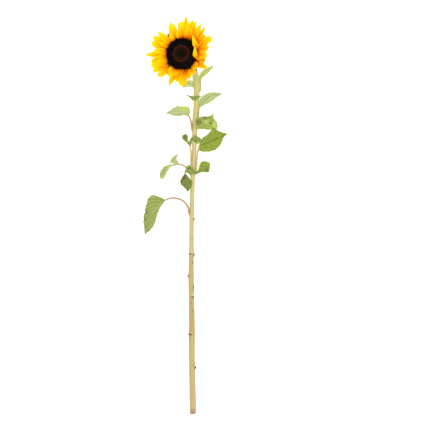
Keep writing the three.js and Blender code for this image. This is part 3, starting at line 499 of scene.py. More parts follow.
class Finish:
    """A material whose nodes are written as expressions."""

    def __init__(self, name):
        self.material = bpy.data.materials.new(name)
        self.material.use_nodes = True
        self.nodes = self.material.node_tree.nodes
        self.nodes.clear()

    def node(self, kind, inputs, output=0, **settings):
        made = self.nodes.new(kind)
        for key, value in settings.items():
            setattr(made, key, value)
        for key, value in inputs.items():
            if isinstance(value, Value):
                self.material.node_tree.links.new(value.socket, made.inputs[key])
            else:
                made.inputs[key].default_value = value
        return Value(self, made.outputs[output])

    def ramp(self, share, stops):
        shown = self.node("ShaderNodeValToRGB", {"Fac": share})
        elements = shown.socket.node.color_ramp.elements
        while len(elements) < len(stops):
            elements.new(1.0)
        for element, (position, colour) in zip(elements, stops):
            element.position = position
            element.color = colour
        return shown

    def mixed(self, first, second, share):
        return self.node("ShaderNodeMix", {0: share, 6: first, 7: second}, output=2, data_type="RGBA")

    def layered(self, colour, *layers):
        """The colour with others laid over it in turn. Each comes in up to its strength while a value
        goes from low to high."""
        for tint, low, high, value, strength in layers:
            colour = self.mixed(colour, tint, step_between(low, high, value) * strength)
        return colour

    def place(self):
        return self.node("ShaderNodeTexCoord", {}, output="Object")

    def attribute(self, name):
        return self.node("ShaderNodeAttribute", {}, output="Fac", attribute_name=name)

    def across_and_along(self):
        """The piece's own map: from -1 to 1 across it, and from 0 to 1 along it."""
        chart = self.node("ShaderNodeUVMap", {}, uv_map="UVMap")
        split = self.node("ShaderNodeSeparateXYZ", {"Vector": chart})
        return split * 2 - 1, Value(self, split.socket.node.outputs["Y"])

    def round_tube(self):
        """The cosine and sine of the angle round a tube, and from 0 to 1 along it."""
        across, along = self.across_and_along()
        turn = across * math.pi
        return turn.math("COSINE", turn), turn.math("SINE", turn), along

    def vector(self, x, y, z):
        return self.node("ShaderNodeCombineXYZ", {"X": x, "Y": y, "Z": z})

    def noise(self, vector, scale, detail=3.0, roughness=0.55):
        return self.node("ShaderNodeTexNoise", {
            "Vector": vector, "Scale": scale, "Detail": detail, "Roughness": roughness})

    def distance(self, place, middle, axes=(1, 1, 0)):
        """How far a place is from the middle, measured only along the given axes."""
        flat = self.node("ShaderNodeVectorMath", {0: place, 1: axes}, operation="MULTIPLY")
        middle = tuple(value * axis for value, axis in zip((*middle, 0), axes))
        return self.node("ShaderNodeVectorMath", {0: flat, 1: middle}, output="Value", operation="DISTANCE")

    def cells(self, vector, scale):
        return self.node("ShaderNodeTexVoronoi", {"Vector": vector, "Scale": scale}, output="Distance",
                         feature="DISTANCE_TO_EDGE")

    def done(self, colour, roughness, height=None, depth=0.0002, glow=0.0, through=None, specular=0.5,
             sheen=0.0):
        """Ends the material in a surface. Height is raised by depth metres where it is 1. Glow is the share
        of its colour, or of the colour given as through, that it gives off as light of its own. On leaves
        and petals this glow is painted light, standing in for the light that comes through a thin blade."""
        inputs = {"Base Color": colour, "Roughness": roughness}
        inputs.update({"Specular IOR Level": specular, "Sheen Weight": sheen})
        if glow:
            inputs["Emission Color"] = colour if through is None else through
            inputs["Emission Strength"] = glow
        if height is not None:
            inputs["Normal"] = self.node(
                "ShaderNodeBump", {"Height": height, "Distance": depth, "Strength": 1.0})
        surface = self.node("ShaderNodeBsdfPrincipled", inputs)
        output = self.nodes.new("ShaderNodeOutputMaterial")
        self.material.node_tree.links.new(surface.socket, output.inputs["Surface"])
        return self.material


def side_veins(across, along, count, sweep=0.3):
    """How near a place on a leaf is to a side vein: 1 on it and 0 halfway to the next. Also how far it
    is past the last one, from 0 to 1. The veins sweep forward towards the margin."""
    stagger = (across > 0) * 0.5
    past = ((along - sweep * abs(across)) * count + stagger) % 1.0
    return abs(past * 2 - 1), past


STRAW = srgb(214, 192, 126)
PALE_STRAW = srgb(232, 218, 156)
SHADED_OLIVE_STRAW = srgb(190, 170, 112)
DARK_OLIVE = srgb(146, 118, 58)
OCHRE = srgb(196, 160, 84)
LIME_STRAW = srgb(216, 215, 130)
TAN = srgb(208, 178, 134)
NODE_BROWN = srgb(104, 64, 32)
SCAR_RED = srgb(96, 34, 16)
CUT_PINK = srgb(164, 118, 90)
PITH = srgb(226, 214, 176)
PITH_RADIUS = 3.4

# Tints of the stem's sections between nodes: from, to, colour and strength
SECTION_TINTS = [
    (30, 139.5, OCHRE, 0.3), (139.5, 206, srgb(186, 152, 88), 0.5), (206, 281.6, OCHRE, 0.4),
    (281.6, 430, PALE_STRAW, 0.35), (430, 500, PALE_STRAW, 0.6),
]

# Brown lines half way round the stem at its nodes: height up the stem, the side they run to, thickness
# and how pale the lip above them is
NODE_LINES = [
    (281.6, -1.0, 1.9, 0.5), (206.0, 1.0, 1.7, 0.75), (421.7, -0.2, 1.1, 0.3), (139.5, -0.8, 1.9, 0.1),
]

# Reddish scars on the stem's upper side: height up the stem, half length, place across from -1 to 1,
# and how strong they are
SCARS = [
    (222.6, 7.8, 0.88, 1.0), (266.5, 3.5, 0.45, 0.6), (194.5, 2.2, -0.1, 0.45), (181.5, 4.0, 0.4, 0.35),
    (132.0, 6.0, -0.86, 0.45), (308.0, 5.0, 0.3, 0.2), (88.0, 12.0, 0.75, 0.25),
]

# The stubs' dark and light colours, from the foot up
STUB_COLOURS = [
    (srgb(104, 62, 48), srgb(160, 106, 82)), (srgb(108, 84, 68), srgb(176, 156, 132)),
    (srgb(168, 118, 60), srgb(210, 176, 108)),
]


def stem_finish(length):
    """Straw skin with streaks that run along it, greener at the neck and tanned towards the foot. Painted
    shade darkens its flanks and its underside.
    """
    finish = Finish("stem_skin")
    round_x, round_y, along = finish.round_tube()
    up = along * length
    streaks = finish.noise(finish.vector(round_x * 2.2, round_y * 2.2, up * 0.012), 1.6, detail=4.0)
    fine = finish.noise(finish.vector(round_x * 9, round_y * 9, up * 0.05), 1.3)
    blotches = finish.noise(finish.vector(round_x, round_y, up * 0.06), 1.0)
    skin = finish.layered(
        STRAW, (OCHRE, 0.5, 0.72, streaks, 0.8), (PALE_STRAW, 0.52, 0.7, fine, 0.6),
        (OCHRE, 0.46, 0.34, fine, 0.5))
    for low, high, tint, strength in SECTION_TINTS:
        here = step_between(low - 1, low + 1, up) * step_between(high + 1, high - 1, up)
        skin = finish.mixed(skin, tint, here * strength)
    # Painted shade: olive darkens the stem's left and right flanks, more on the right, and ochre darkens its
    # underside.
    skin = finish.layered(
        skin, (SHADED_OLIVE_STRAW, -0.1, -0.8, round_x, 0.45), (SHADED_OLIVE_STRAW, 0.0, 0.8, round_x, 0.6),
        (OCHRE, -0.1, 0.8, round_y, 0.5), (LIME_STRAW, 440, 600, up, 0.75), (TAN, 150, 20, up, 0.7),
        (TAN, 0.55, 0.75, blotches, 0.35))
    for height, side, thick, pale in NODE_LINES:
        near = (up - height) / thick
        line = step_between(1.0, 0.5, abs(near)) * step_between(-0.2, 0.25, round_x * side)
        lip = step_between(1.2, 0.3, abs(near - 2.0)) * step_between(-0.6, 0.6, round_x * side) * pale
        skin = finish.mixed(skin, PITH, lip)
        skin = finish.mixed(skin, NODE_BROWN, line * 0.85)
    for height, half, angle, strength in SCARS:
        ahead = step_between(1.0, 0.35, abs(up - height) / half)
        beside = step_between(0.34, 0.14, abs(round_x - angle)) * step_between(0.0, 0.3, round_y * -1)
        skin = finish.mixed(skin, SCAR_RED, ahead * beside * strength)
    low_left = step_between(-0.74, -0.94, round_x) * step_between(215, 150, up)
    skin = finish.mixed(skin, DARK_OLIVE, low_left * 0.6)
    skin = finish.layered(skin, (CUT_PINK, 18, 3, up + blotches * 8, 0.85))
    axis = (ORIGIN[0], 0, STEM_AXIS_HEIGHT * MM)
    middle = finish.distance(finish.place(), axis, (1, 0, 1)) / (PITH_RADIUS * MM)
    face = finish.layered(PITH, (CUT_PINK, 0.7, 1.1, middle + (blotches - 0.5) * 0.6, 1.0))
    skin = finish.layered(skin, (face, 0.4, 0.1, up, 1.0))
    return finish.done(skin, 0.62, streaks * 0.5 + fine * 0.5, depth=0.0003, specular=0.35)


def stub_finish():
    """Dry stubs: reddish low on the stem, grey in the middle and straw at the top."""
    finish = Finish("stub_skin")
    place = finish.place()
    grain = finish.noise(place, 1400.0, detail=2.0)
    up = finish.node("ShaderNodeSeparateXYZ", {"Vector": place}, output="Y") - ORIGIN[1]
    red, grey, gold = [finish.layered(dark, (light, 0.35, 0.7, grain, 1.0)) for dark, light in STUB_COLOURS]
    colour = finish.layered(red, (grey, 0.18, 0.2, up, 1.0), (gold, 0.3, 0.32, up, 1.0))
    return finish.done(colour, 0.75, grain, specular=0.25)


def stalk_finish():
    """A tan leaf stalk that is flushed red along one side, and paler where two lie along the stem."""
    finish = Finish("stalk_skin")
    front, side, along = finish.round_tube()
    fibres = finish.noise(finish.vector(side * 3, along * 6, front * 3), 3.0, detail=4.0)
    beside = finish.distance(finish.place(), flat_point(2, 450)) / (28 * MM)
    skin = finish.layered(
        srgb(204, 182, 116), (srgb(178, 142, 92), 0.35, 0.65, fibres, 1.0),
        (srgb(136, 88, 68), 0.1, 0.9, side, 0.6), (srgb(190, 200, 110), 0.2, 0.0, along, 0.5),
        (srgb(224, 210, 148), 1.1, 0.6, beside, 0.6))
    return finish.done(skin, 0.6, fibres, specular=0.35)


# For each look: the blade's shaded green, its light green and its veins' colour. The raised look is a
# leaf's underside, whose veins stand up.
RAISED_LOOK = "pale"
LEAF_LOOKS = {
    "pale": (srgb(158, 176, 84), srgb(210, 220, 150), srgb(234, 236, 194)),
    "vivid": (srgb(120, 140, 28), srgb(164, 182, 58), srgb(184, 200, 92)),
    "fresh": (srgb(124, 148, 44), srgb(196, 207, 98), srgb(220, 228, 140)),
    "dull": (srgb(110, 130, 34), srgb(168, 180, 84), srgb(200, 208, 132)),
    "dark": (srgb(100, 116, 34), srgb(144, 158, 68), srgb(174, 182, 104)),
    "meadow": (srgb(124, 144, 48), srgb(177, 189, 100), srgb(214, 222, 156)),
}
BARE_STALK = srgb(200, 180, 112)
# Colours of the leaf marks. Shade marks are painted shade; light and bright marks are painted light, partly
# the leaves' own paler patches.
MARK_COLOURS = {
    "brown": srgb(112, 72, 40), "black": srgb(66, 44, 36), "green": srgb(126, 156, 34),
    "shade": srgb(92, 118, 34), "bright": srgb(200, 217, 66), "light": srgb(206, 220, 136),
    "grey": srgb(156, 174, 96),
}


def leaf_finish(name, look, shape):
    """A leaf's skin: mottled greens with lighter veins and a fine net between them, and painted shade that
    runs from each side vein to the next. Marks are patches of a colour, each with its middle and radius in
    millimetres; the shade marks are painted shade, and the light and bright marks are painted light as well
    as the leaf's own paler patches. The bare share of its length is its stalk."""
    dark, light, vein = LEAF_LOOKS[look]
    # Stripes sets the share of painted shade between the side veins, and how strongly the side veins are
    # drawn.
    stripes = shape.get("stripes", 0.4)
    finish = Finish(name)
    across, along = finish.across_and_along()
    place = finish.place()
    mottle = finish.noise(place, 230.0, detail=5.0, roughness=0.62)
    grain = finish.noise(place, 900.0)
    lines, slope = side_veins(across, along, shape["veins"])
    # Painted shade: slope runs from dark just past each side vein to light before the next, as if the blade
    # bulged between them.
    lightness = mottle * (0.9 - stripes) + slope * stripes + grain * 0.1
    skin = finish.layered(dark, (light, 0.25, 0.75, lightness, 1.0))
    # Shade marks paint shade, and light and bright marks paint light on the blade, partly its own paler
    # patches.
    for x, y, radius, kind in shape.get("marks", ()):
        apart = finish.distance(place, flat_point(x, y)) / (radius * MM) + (mottle - 0.5) * 0.9
        skin = finish.layered(skin, (MARK_COLOURS[kind], 1.15, 0.4, apart, 0.8))
    streak = step_between(0.84, 0.96, lines) * step_between(1.02, 0.75, abs(across))
    rib = step_between(0.1, 0.03, abs(across))
    mesh = step_between(0.09, 0.02, finish.cells(place, 480.0))
    skin = finish.mixed(skin, vein, mesh * 0.16)
    skin = finish.mixed(skin, vein, streak * min(0.7, stripes * 1.75))
    # A dark rib colour, as leaf_08 has, is painted shade in the groove of the midrib.
    skin = finish.mixed(skin, shape.get("rib_colour", vein), rib * 0.9)
    if "bare" in shape:
        bare = shape["bare"]
        bare_colour = shape.get("bare_colour", BARE_STALK)
        skin = finish.layered(skin, (bare_colour, bare + 0.05, bare - 0.05, along, 1.0))
    sign = 1.0 if look == RAISED_LOOK else -1.0
    height = (streak * 0.8 + rib + mesh * 0.5) * sign + grain * 0.4 + mottle * 0.4
    # The glow is painted light: the blade gives off a little of its own colour.
    return finish.done(skin, 0.62, height, depth=0.00035, glow=0.06, specular=0.3, sheen=0.1)


PETAL_STOPS = [
    (0.0, srgb(228, 86, 0)), (0.12, srgb(244, 114, 0)), (0.26, srgb(254, 160, 0)), (0.48, srgb(255, 200, 0)),
    (0.78, srgb(255, 224, 0)), (1.0, srgb(255, 236, 0)),
]


def petal_finish():
    """A petal: orange at its root, golden in the middle and lemon at its tip, with fine long veins. Its
    warmth, from 0 to 1, draws the orange out towards the tip. Orange creases, orange edges and a darker
    orange rim are painted shade, and an orange glow beyond its root is painted light."""
    finish = Finish("petal_skin")
    across, along = finish.across_and_along()
    warmth = finish.attribute("warmth")
    slant = finish.attribute("slant")
    drift = finish.noise(finish.vector(across * 1.3, along * 2.0, warmth * 40), 1.6, detail=2.0)
    lines = finish.noise(finish.vector(across * 7.0, along * 0.8, warmth * 60), 2.2)
    # Painted shade: the petal's edges are shifted towards orange, most near its root, as shade between
    # overlapping petals.
    edge = step_between(0.72, 1.0, abs(across)) * step_between(0.95, 0.25, along)
    share = along + (drift - 0.5) * 0.3 + (lines - 0.5) * 0.35 - warmth * 0.3 + 0.12
    colour = finish.ramp(share - edge * 0.16 - across * slant * 0.5, PETAL_STOPS)
    # Painted shade: orange along crease lines that follow the veins, fading towards the tip.
    creases = step_between(0.54, 0.68, lines) * step_between(0.95, 0.5, along)
    colour = finish.mixed(colour, srgb(248, 140, 0), creases * 0.5)
    # Painted shade: a darker orange rim along the margins, as shade between overlapping petals.
    rim = step_between(0.84, 0.98, abs(across)) * step_between(1.0, 0.7, along)
    colour = finish.mixed(colour, srgb(234, 140, 0), rim * 0.38)
    # Painted light: beyond its root the petal glows with its colour mixed towards orange, so that its shaded
    # parts look orange.
    through = finish.mixed(colour, srgb(255, 120, 0), 0.6)
    through = finish.layered((0, 0, 0, 1), (through, 0.08, 0.45, along, 1.0))
    return finish.done(colour, 0.55, lines, depth=0.0006, glow=0.13, through=through, specular=0.06)


def floret_finish(name, dark, light, roughness=0.75):
    finish = Finish(name)
    grain = finish.noise(finish.place(), 1400.0, detail=2.0)
    return finish.done(finish.layered(dark, (light, 0.35, 0.7, grain, 1.0)), roughness, grain, specular=0.15)


def heart_finish():
    """The buds in the middle: near black round a dark spot, and brown where they meet the ring."""
    finish = Finish("heart_floret_skin")
    place = finish.place()
    grain = finish.noise(place, 900.0, detail=2.0)
    drift = finish.noise(place, 260.0)
    centre = HEAD_CENTRE + head_out * DISC_PROFILE[0, 1]
    out = finish.distance(place, flat_point(*centre[:2])) / (HEART_EDGE * MM)
    spot = finish.distance(place, flat_point(*DARK_SPOT)) / (DARK_SPOT_RADIUS * MM)
    colour = finish.layered(
        srgb(16, 15, 10), (srgb(42, 31, 20), 0.3, 0.7, grain, 1.0),
        (srgb(74, 36, 16), 0.45, 1.0, out + (drift - 0.5) * 0.7, 0.75), (srgb(8, 8, 8), 1.0, 0.4, spot, 0.7))
    return finish.done(colour, 0.7, grain, specular=0.15)


def calyx_finish():
    """Green bracts whose hairs show only as a soft sheen, paler along their fibres and brown at their tips.
    """
    finish = Finish("bract_skin")
    across, along = finish.across_and_along()
    mottle = finish.noise(finish.place(), 300.0, detail=4.0)
    fibres = finish.noise(finish.vector(across * 6, along * 1.4, 0.0), 2.4)
    skin = finish.layered(
        srgb(82, 102, 34), (srgb(136, 152, 68), 0.3, 0.7, mottle, 1.0),
        (srgb(160, 172, 94), 0.55, 0.7, fibres, 0.5), (srgb(74, 60, 40), 0.86, 1.0, along, 0.7))
    return finish.done(skin, 0.7, fibres + mottle * 0.6, depth=0.0003, sheen=0.12)


def receptacle_finish():
    finish = Finish("receptacle_skin")
    place = finish.place()
    mottle = finish.noise(place, 240.0, detail=5.0)
    grain = finish.noise(place, 1500.0, detail=2.0)
    skin = finish.layered(srgb(124, 146, 58), (srgb(172, 184, 98), 0.35, 0.65, mottle, 1.0))
    return finish.done(skin, 0.75, grain + mottle, depth=0.0003, sheen=0.12)


# The stem with its stubs

STEM_ROWS = 620
STEM_COLUMNS = 56
STEM_LINE = smooth_line(STEM, STEM_ROWS)
SKIN_MARGIN = 0.25
CAP_SHARES = (0.0, 0.3, 0.55, 0.75, 0.9, 0.97)

# Ridges along the stem: how many stand round it and how deep they are, as a share of its radius
RIDGES = ((7, 0.012), (11, 0.01), (17, 0.008), (23, 0.007))
SWOLLEN_NODES = (80, 139, 206, 239, 281.6, 340, 421, 494, 513, 560, 574)


def stem_radii(up, angle):
    """The skin's radius along the stem and round it: ridged, rounded at its cut edge and swollen at
    its nodes."""
    rng = np.random.default_rng(5)
    radius = np.repeat(STEM_LINE[:, 3:4] + SKIN_MARGIN, len(angle), axis=1)
    for count, depth in RIDGES:
        drift = np.interp(up, np.linspace(0, up[-1], 14), rng.uniform(-0.9, 0.9, 14))
        radius *= 1 + depth * np.cos(count * angle[None] + drift[:, None] + rng.uniform(0, 6))
    radius *= (1 - 0.16 * np.exp(-up / 1.3))[:, None]
    for node in SWOLLEN_NODES:
        swell = np.exp(-((up - node) / 3.2) ** 2) * 0.28
        groove = np.exp(-((up - node - 1.2) / 0.5) ** 2) * 0.16
        radius += (swell - groove)[:, None]
    return radius + 0.06 * np.sin(up / 9)[:, None]


def cap_places(edge, angle):
    """Rings on the cut face, from its middle, which is a little sunk, to its edge."""
    middle = STEM_LINE[0, :3]
    rings = []
    for share in CAP_SHARES:
        ring = middle + (edge - middle) * share
        ring[:, 1] += 0.5 * (1 - share) ** 0.5 + 0.12 * np.cos(5 * angle) * share
        rings.append(ring)
    return np.array(rings)


def map_from_cut_edge(body, rows):
    """Makes the piece's map begin at the stem's cut edge, so that it is 0 all over the cut face."""
    chart = body.data.uv_layers["UVMap"]
    mapped = np.empty(len(body.data.loops) * 2)
    chart.data.foreach_get("uv", mapped)
    mapped = mapped.reshape(-1, 2)
    row = mapped[:, 1] * (rows - 1) - len(CAP_SHARES)
    mapped[:, 1] = np.maximum(row, 0) / (STEM_ROWS - 1)
    chart.data.foreach_set("uv", mapped.ravel())


def stem():
    length = np.linalg.norm(np.diff(STEM_LINE[:, :3], axis=0), axis=1).sum()
    up = np.linspace(0, length, STEM_ROWS)
    angle = np.linspace(0, 2 * math.pi, STEM_COLUMNS + 1)
    places = tube_places(STEM_LINE[:, :3], stem_radii(up, angle), STEM_COLUMNS, np.array([1.0, 0.0, 0.0]))
    places = np.concatenate([cap_places(places[0], angle), places])
    places[..., 2] = np.maximum(places[..., 2], 0.02)
    body = shaped_grid("stem_skin", places)
    map_from_cut_edge(body, len(places))
    finished(close_tube(body), stem_finish(length), replaces=["stem"])


def stub(along, turn, radius, length):
    """A short dry stub of a cut leaf stalk, flared at its foot and torn at its end."""
    x, _, _, stem_radius = STEM_LINE[np.argmin(np.abs(STEM_LINE[:, 1] - along))]
    angle = math.radians(turn)
    out = unit(np.array([math.cos(angle), 0.7, math.sin(angle)]))
    neck = stem_radius * 0.6
    model = stacked("stub", 14, [
        (0, radius * 1.5), (stem_radius * 0.35, radius * 1.35), (stem_radius * 0.55, radius),
        (neck + length * 0.7, radius * 0.85), (neck + length, radius * 0.9),
        (neck + length * 0.85, radius * 0.5), (neck + length * 0.8, radius * 0.1)])
    root = np.array([x, along, STEM_AXIS_HEIGHT]) + out * stem_radius * 0.5
    return scattered("stub", [model], [root], frames_along(out[None], np.zeros(1)), [1.0], [0])


def stubs():
    finished(joined("stalk_stubs", [stub(*sizes) for sizes in STUBS]), stub_finish())


HAIR_COUNT = 2600


def stem_hairs():
    """Short pale hairs over the stem's top and flanks."""
    rng = np.random.default_rng(8)
    row = rng.integers(8, STEM_ROWS - 8, HAIR_COUNT)
    forward = unit(STEM_LINE[row + 1, :3] - STEM_LINE[row - 1, :3])
    side = unit(np.cross(forward, [0, 0, 1.0]))
    angle = rng.uniform(-0.5, math.pi + 0.5, HAIR_COUNT)[:, None]
    out = side * np.cos(angle) + np.cross(side, forward) * np.sin(angle)
    root = STEM_LINE[row, :3] + out * (STEM_LINE[row, 3:4] - 0.1)
    lean = forward * rng.uniform(-0.2, 0.7, (HAIR_COUNT, 1))
    direction = unit(out + lean + rng.normal(0, 0.15, out.shape))
    model = stacked("hair", 3, [(0, 0.055), (0.6, 0.04), (1.1, 0.012)])
    piece = scattered("stem_hairs", [model], root, frames_along(direction, angle[:, 0]),
                      rng.uniform(0.5, 1.1, HAIR_COUNT), np.zeros(HAIR_COUNT, int))
    finished(piece, floret_finish("hair_skin", srgb(226, 214, 160), srgb(240, 234, 200)))


# Leaf stalks and blades

LINE_ROWS = 60
STALK_SIDES = 16
RIB_SIDES = 12
STALK_MARGIN = 0.3


def stalk(name, radii, path, finish):
    """A leaf stalk that runs on to the root of its blade's rib. It is wider at its foot, and grooved."""
    blade = LEAVES[name.replace("stalk_", "")]["rib"]
    line = smooth_line(path + [blade[0]], LINE_ROWS)
    share = np.linspace(0, 1, LINE_ROWS)
    radius = radii[0] + (radii[1] - radii[0]) * share + STALK_MARGIN
    radius = radius * (1 + 0.7 * np.exp(-share * 14))
    angle = np.linspace(0, 2 * math.pi, STALK_SIDES + 1)
    groove = 1 - 0.22 * np.exp(-((angle - math.pi) / 0.5) ** 2)
    piece = tube(f"{name}_skin", line, radius[:, None] * groove[None], STALK_SIDES)
    finished(piece, finish, replaces=[name])


BLADE_ROWS = 120
BLADE_COLUMNS = 57
BLADE_THICKNESS = 0.45


def leaf_places(shape):
    """Places on a leaf's blade, across it from left to right and along it from root to tip."""
    along = np.linspace(0, 1, BLADE_ROWS)
    across = np.linspace(-1, 1, BLADE_COLUMNS)
    rib = smooth_line(shape["rib"], BLADE_ROWS)
    forward = unit(np.gradient(rib, axis=0))
    right = unit(np.stack([forward[:, 1], -forward[:, 0], forward[:, 2] * 0], axis=1))
    sides = [("left", across < 0), ("right", across >= 0)]
    half = sum(smooth_values(shape[side], along)[:, None] * here for side, here in sides)
    height = sum(
        smooth_values(shape[f"{side}_height"], along)[:, None] * here for side, here in sides)
    edge = np.abs(across)[None]
    half = np.maximum(half, 0.25)
    teeth = ((along * shape.get("teeth", 15)) % 1.0)[:, None] * step_between(2.5, 6.0, half)
    half = half * (1 + 0.07 * (teeth - 0.4) * edge ** 5)
    notch_at, notch_depth = shape.get("notch", (0.5, 0.0))
    notch = notch_depth * np.exp(-((along - notch_at) / 0.012) ** 2)[:, None] * (across > 0.4)
    half = half * (1 - notch)
    ragged = np.sin(along * 19 + 1.0)[:, None] * np.sin(along[:, None] * 31 + across[None] * 2)
    half = half * (1 + shape.get("ragged", 0.0) * ragged * edge ** 2)
    places = rib[:, None] + right[:, None] * (across[None] * half)[..., None]
    lobe = np.where(across < 0, *shape.get("lobes", (0.0, 0.0)))
    lobe = lobe[None] * edge ** 1.5 * step_between(0.4, 0.0, along)[:, None]
    places -= forward[:, None] * lobe[..., None]
    places[..., 2] += (height - rib[:, None, 2]) * edge ** 1.4
    return places, half, along[:, None], across[None]


def blade_relief(shape, places, half, along, across, rng):
    """Raises or sinks the veins, lets the blade bulge between them and crumples it."""
    sign = 1.0 if shape["look"] == RAISED_LOOK else -1.0
    wide = step_between(1.5, 6.0, half)
    lines, _ = side_veins(across, along, shape["veins"])
    veins = step_between(0.7, 1.0, lines) * step_between(1.05, 0.6, np.abs(across)) * 0.22
    rib = np.exp(-(across * half / 0.9) ** 2) * 0.3
    bulge = (1 - lines) ** 0.7 * np.sin(np.pi * np.abs(across)) ** 0.8 * 0.45
    lift = sign * (veins + rib) - sign * bulge
    lift = lift + waves(places, rng, 9.0) * shape["crumple"] * 0.5 * np.abs(across) ** 0.5
    lift = lift + waves(places, rng, 4.0) * shape["crumple"] * 0.16
    lift = lift + np.sin(along * 40 + across * 4) * np.abs(across) ** 4 * 0.35
    places = places + normals_of(places) * (lift * wide)[..., None]
    places[..., 2] = np.maximum(places[..., 2], SURFACE_GAP)
    return places


def leaf(name, shape, number):
    raised = shape["look"] == RAISED_LOOK
    places, half, along, across = leaf_places(shape)
    places = blade_relief(shape, places, half, along, across, np.random.default_rng(100 + number))
    blade = shaped_grid(f"{name}_blade", places)
    line = smooth_line(shape["rib"], LINE_ROWS)
    start = 1.15 if shape["left"][0] > 0.9 else 0.6
    radius = start * (1 - np.linspace(0, 1, LINE_ROWS)) ** 0.8 + 0.16
    sunk = 0.0 if raised else 0.35
    line[:, 2] = np.maximum(line[:, 2] - sunk, radius + 0.1)
    rib = tube(f"{name}_rib", line, radius[:, None], RIB_SIDES)
    face = leaf_finish(f"{name}_face", shape["look"], shape)
    back = leaf_finish(f"{name}_back", "fresh" if raised else RAISED_LOOK, {"veins": shape["veins"]})
    for piece in (blade, rib):
        piece.data.materials.append(face)
        piece.data.materials.append(back)
    apply_modifier(blade, "SOLIDIFY", thickness=BLADE_THICKNESS * MM, offset=0.0, material_offset=1,
                   use_quality_normals=True)
    whole = joined(f"{name}_skin", [blade, rib])
    finished(whole, replaces=[name], smooth_angle=60)


# The bloom, in its own frame: +Z is the head's axis and the disc's edge lies at height 0

head_turn = Vector((0, 0, 1)).rotation_difference(HEAD_AXIS).to_matrix()
HEAD_FRAME = np.array(head_turn).T
head_right, head_up, head_out = HEAD_FRAME


def from_head(places):
    """Places in the plant's frame, from places in the head's."""
    return places @ HEAD_FRAME + HEAD_CENTRE


def head_point_under(clock, reach, height):
    """The head's point seen from above at a clock angle and a reach, at a height over its edge."""
    angle = math.radians(clock)
    plan = np.array([math.sin(angle), math.cos(angle)]) * reach - height * head_out[:2]
    flat = np.array([head_right[:2], head_up[:2]]).T
    x, y = np.linalg.solve(flat, plan)
    return np.array([x, y, height])


def petal_line(clock, reach, tier):
    """The root, pull and tip of a petal's middle line and the way across it, in the head's frame. The
    root is tucked in under the florets."""
    rise = PETAL_MEAN_RISE + PETAL_RISE_SWING * math.cos(math.radians(clock - STEEPEST_PETAL_CLOCK))
    slope = math.tan(math.radians(rise + tier * TIER_TURN))
    root_height = PETAL_ROOT_HEIGHT + tier * TIER_STEP
    low = head_point_under(clock, reach, 0)
    high = head_point_under(clock, reach, 1)
    radius = math.hypot(*low[:2])
    gain = math.hypot(*high[:2]) - radius
    height = (root_height + slope * (radius - PETAL_ROOT_RADIUS)) / (1 - slope * gain)
    tip = head_point_under(clock, reach, height)
    out = unit(np.array([tip[0], tip[1], 0.0]))
    root = out * (PETAL_ROOT_RADIUS - PETAL_TUCK) + np.array([0, 0, root_height - PETAL_TUCK * 0.4])
    pull = (root + tip) / 2
    pull[2] += 0.12 * (tip[2] - root[2])
    return root, pull, tip, np.cross([0, 0, 1], out)


def lance_places(root, pull, tip, side, width, root_width, widest=0.5, size=(60, 27), cup=0.2, point=0.3,
                 shoulder=0.35, tooth=0.0, forked=False, rolls=(0.0, 0.0), bend=0.0, twist=0.0, pleats=0.0,
                 pleat_phase=0.0):
    """Places on a pointed blade along a curved line, across it and from its root to its tip. Its tip
    may have teeth, its margins roll up, and its surface is pleated lengthwise."""
    steps = np.linspace(0, 1, size[0])[:, None]
    across = np.linspace(-1, 1, size[1])[None]
    dips = 0.5 - 0.5 * np.cos(2 * math.pi * across + math.pi * forked)
    along = steps * (1 - point * np.abs(across) ** 1.8 - tooth * dips)
    near, far = (1 - along)[..., None], along[..., None]
    middle = near ** 2 * root + 2 * near * far * pull + far ** 2 * tip
    forward = unit(near * (pull - root) + far * (tip - pull))
    side = unit(side - forward * (forward @ side)[..., None])
    face = np.cross(forward, side)
    turn = (twist * along ** 1.5)[..., None]
    side, face = side * np.cos(turn) + face * np.sin(turn), face * np.cos(turn) - side * np.sin(turn)
    swell = np.sin(np.pi / 2 * np.clip(steps / widest, 0, 1))
    past = np.clip((steps - widest) / (1 - widest), 0, 1)
    half = (root_width + (width - root_width) * swell) * (1 - shoulder * past ** 2) / 2
    belly = np.sin(np.pi * steps)
    rolled = np.where(across < 0, rolls[0], rolls[1]) * across ** 4 * steps ** 0.7
    lift = half * (cup * across ** 2 * belly + rolled) + bend * along ** 3
    lift = lift + pleats * np.cos(np.pi * across * 4.6 + pleat_phase) * np.sin(np.pi * steps ** 0.8)
    lift = lift - 0.3 * np.exp(-(across / 0.12) ** 2) * belly
    return middle + side * (across * half)[..., None] + face * lift[..., None]


def petal_folds(blunt, rng):
    """The chance folds of one petal, and the shape of its tip."""
    return dict(
        tooth=rng.choice([0.0, 0.03, 0.06, 0.09]), forked=rng.random() < 0.5,
        point=0.4 - 0.32 * blunt, shoulder=0.45 - 0.33 * blunt,
        rolls=rng.uniform(-0.3, 0.45, 2), bend=rng.uniform(-2.0, 2.5), twist=rng.uniform(-0.4, 0.4),
        pleats=rng.uniform(0.12, 0.34), pleat_phase=rng.uniform(-0.8, 0.8), cup=rng.uniform(0.1, 0.4))


def warmth_at(clock, rng):
    """Petals are more orange on the bloom's right-hand side."""
    return 0.4 + 0.24 * math.cos(math.radians(clock - 85)) + rng.uniform(-0.14, 0.14)


def petal_mesh(name, places, warmth, slant):
    """A petal's mesh, marked with its warmth and with how much warmer its right side is."""
    piece = shaped_grid(name, from_head(places))
    apply_modifier(piece, "SOLIDIFY", thickness=PETAL_THICKNESS * MM, offset=0.0)
    for key, value in (("warmth", warmth), ("slant", slant)):
        mark = piece.data.attributes.new(key, "FLOAT", "POINT")
        mark.data.foreach_set("value", np.full(len(piece.data.vertices), value, np.float32))
    return piece


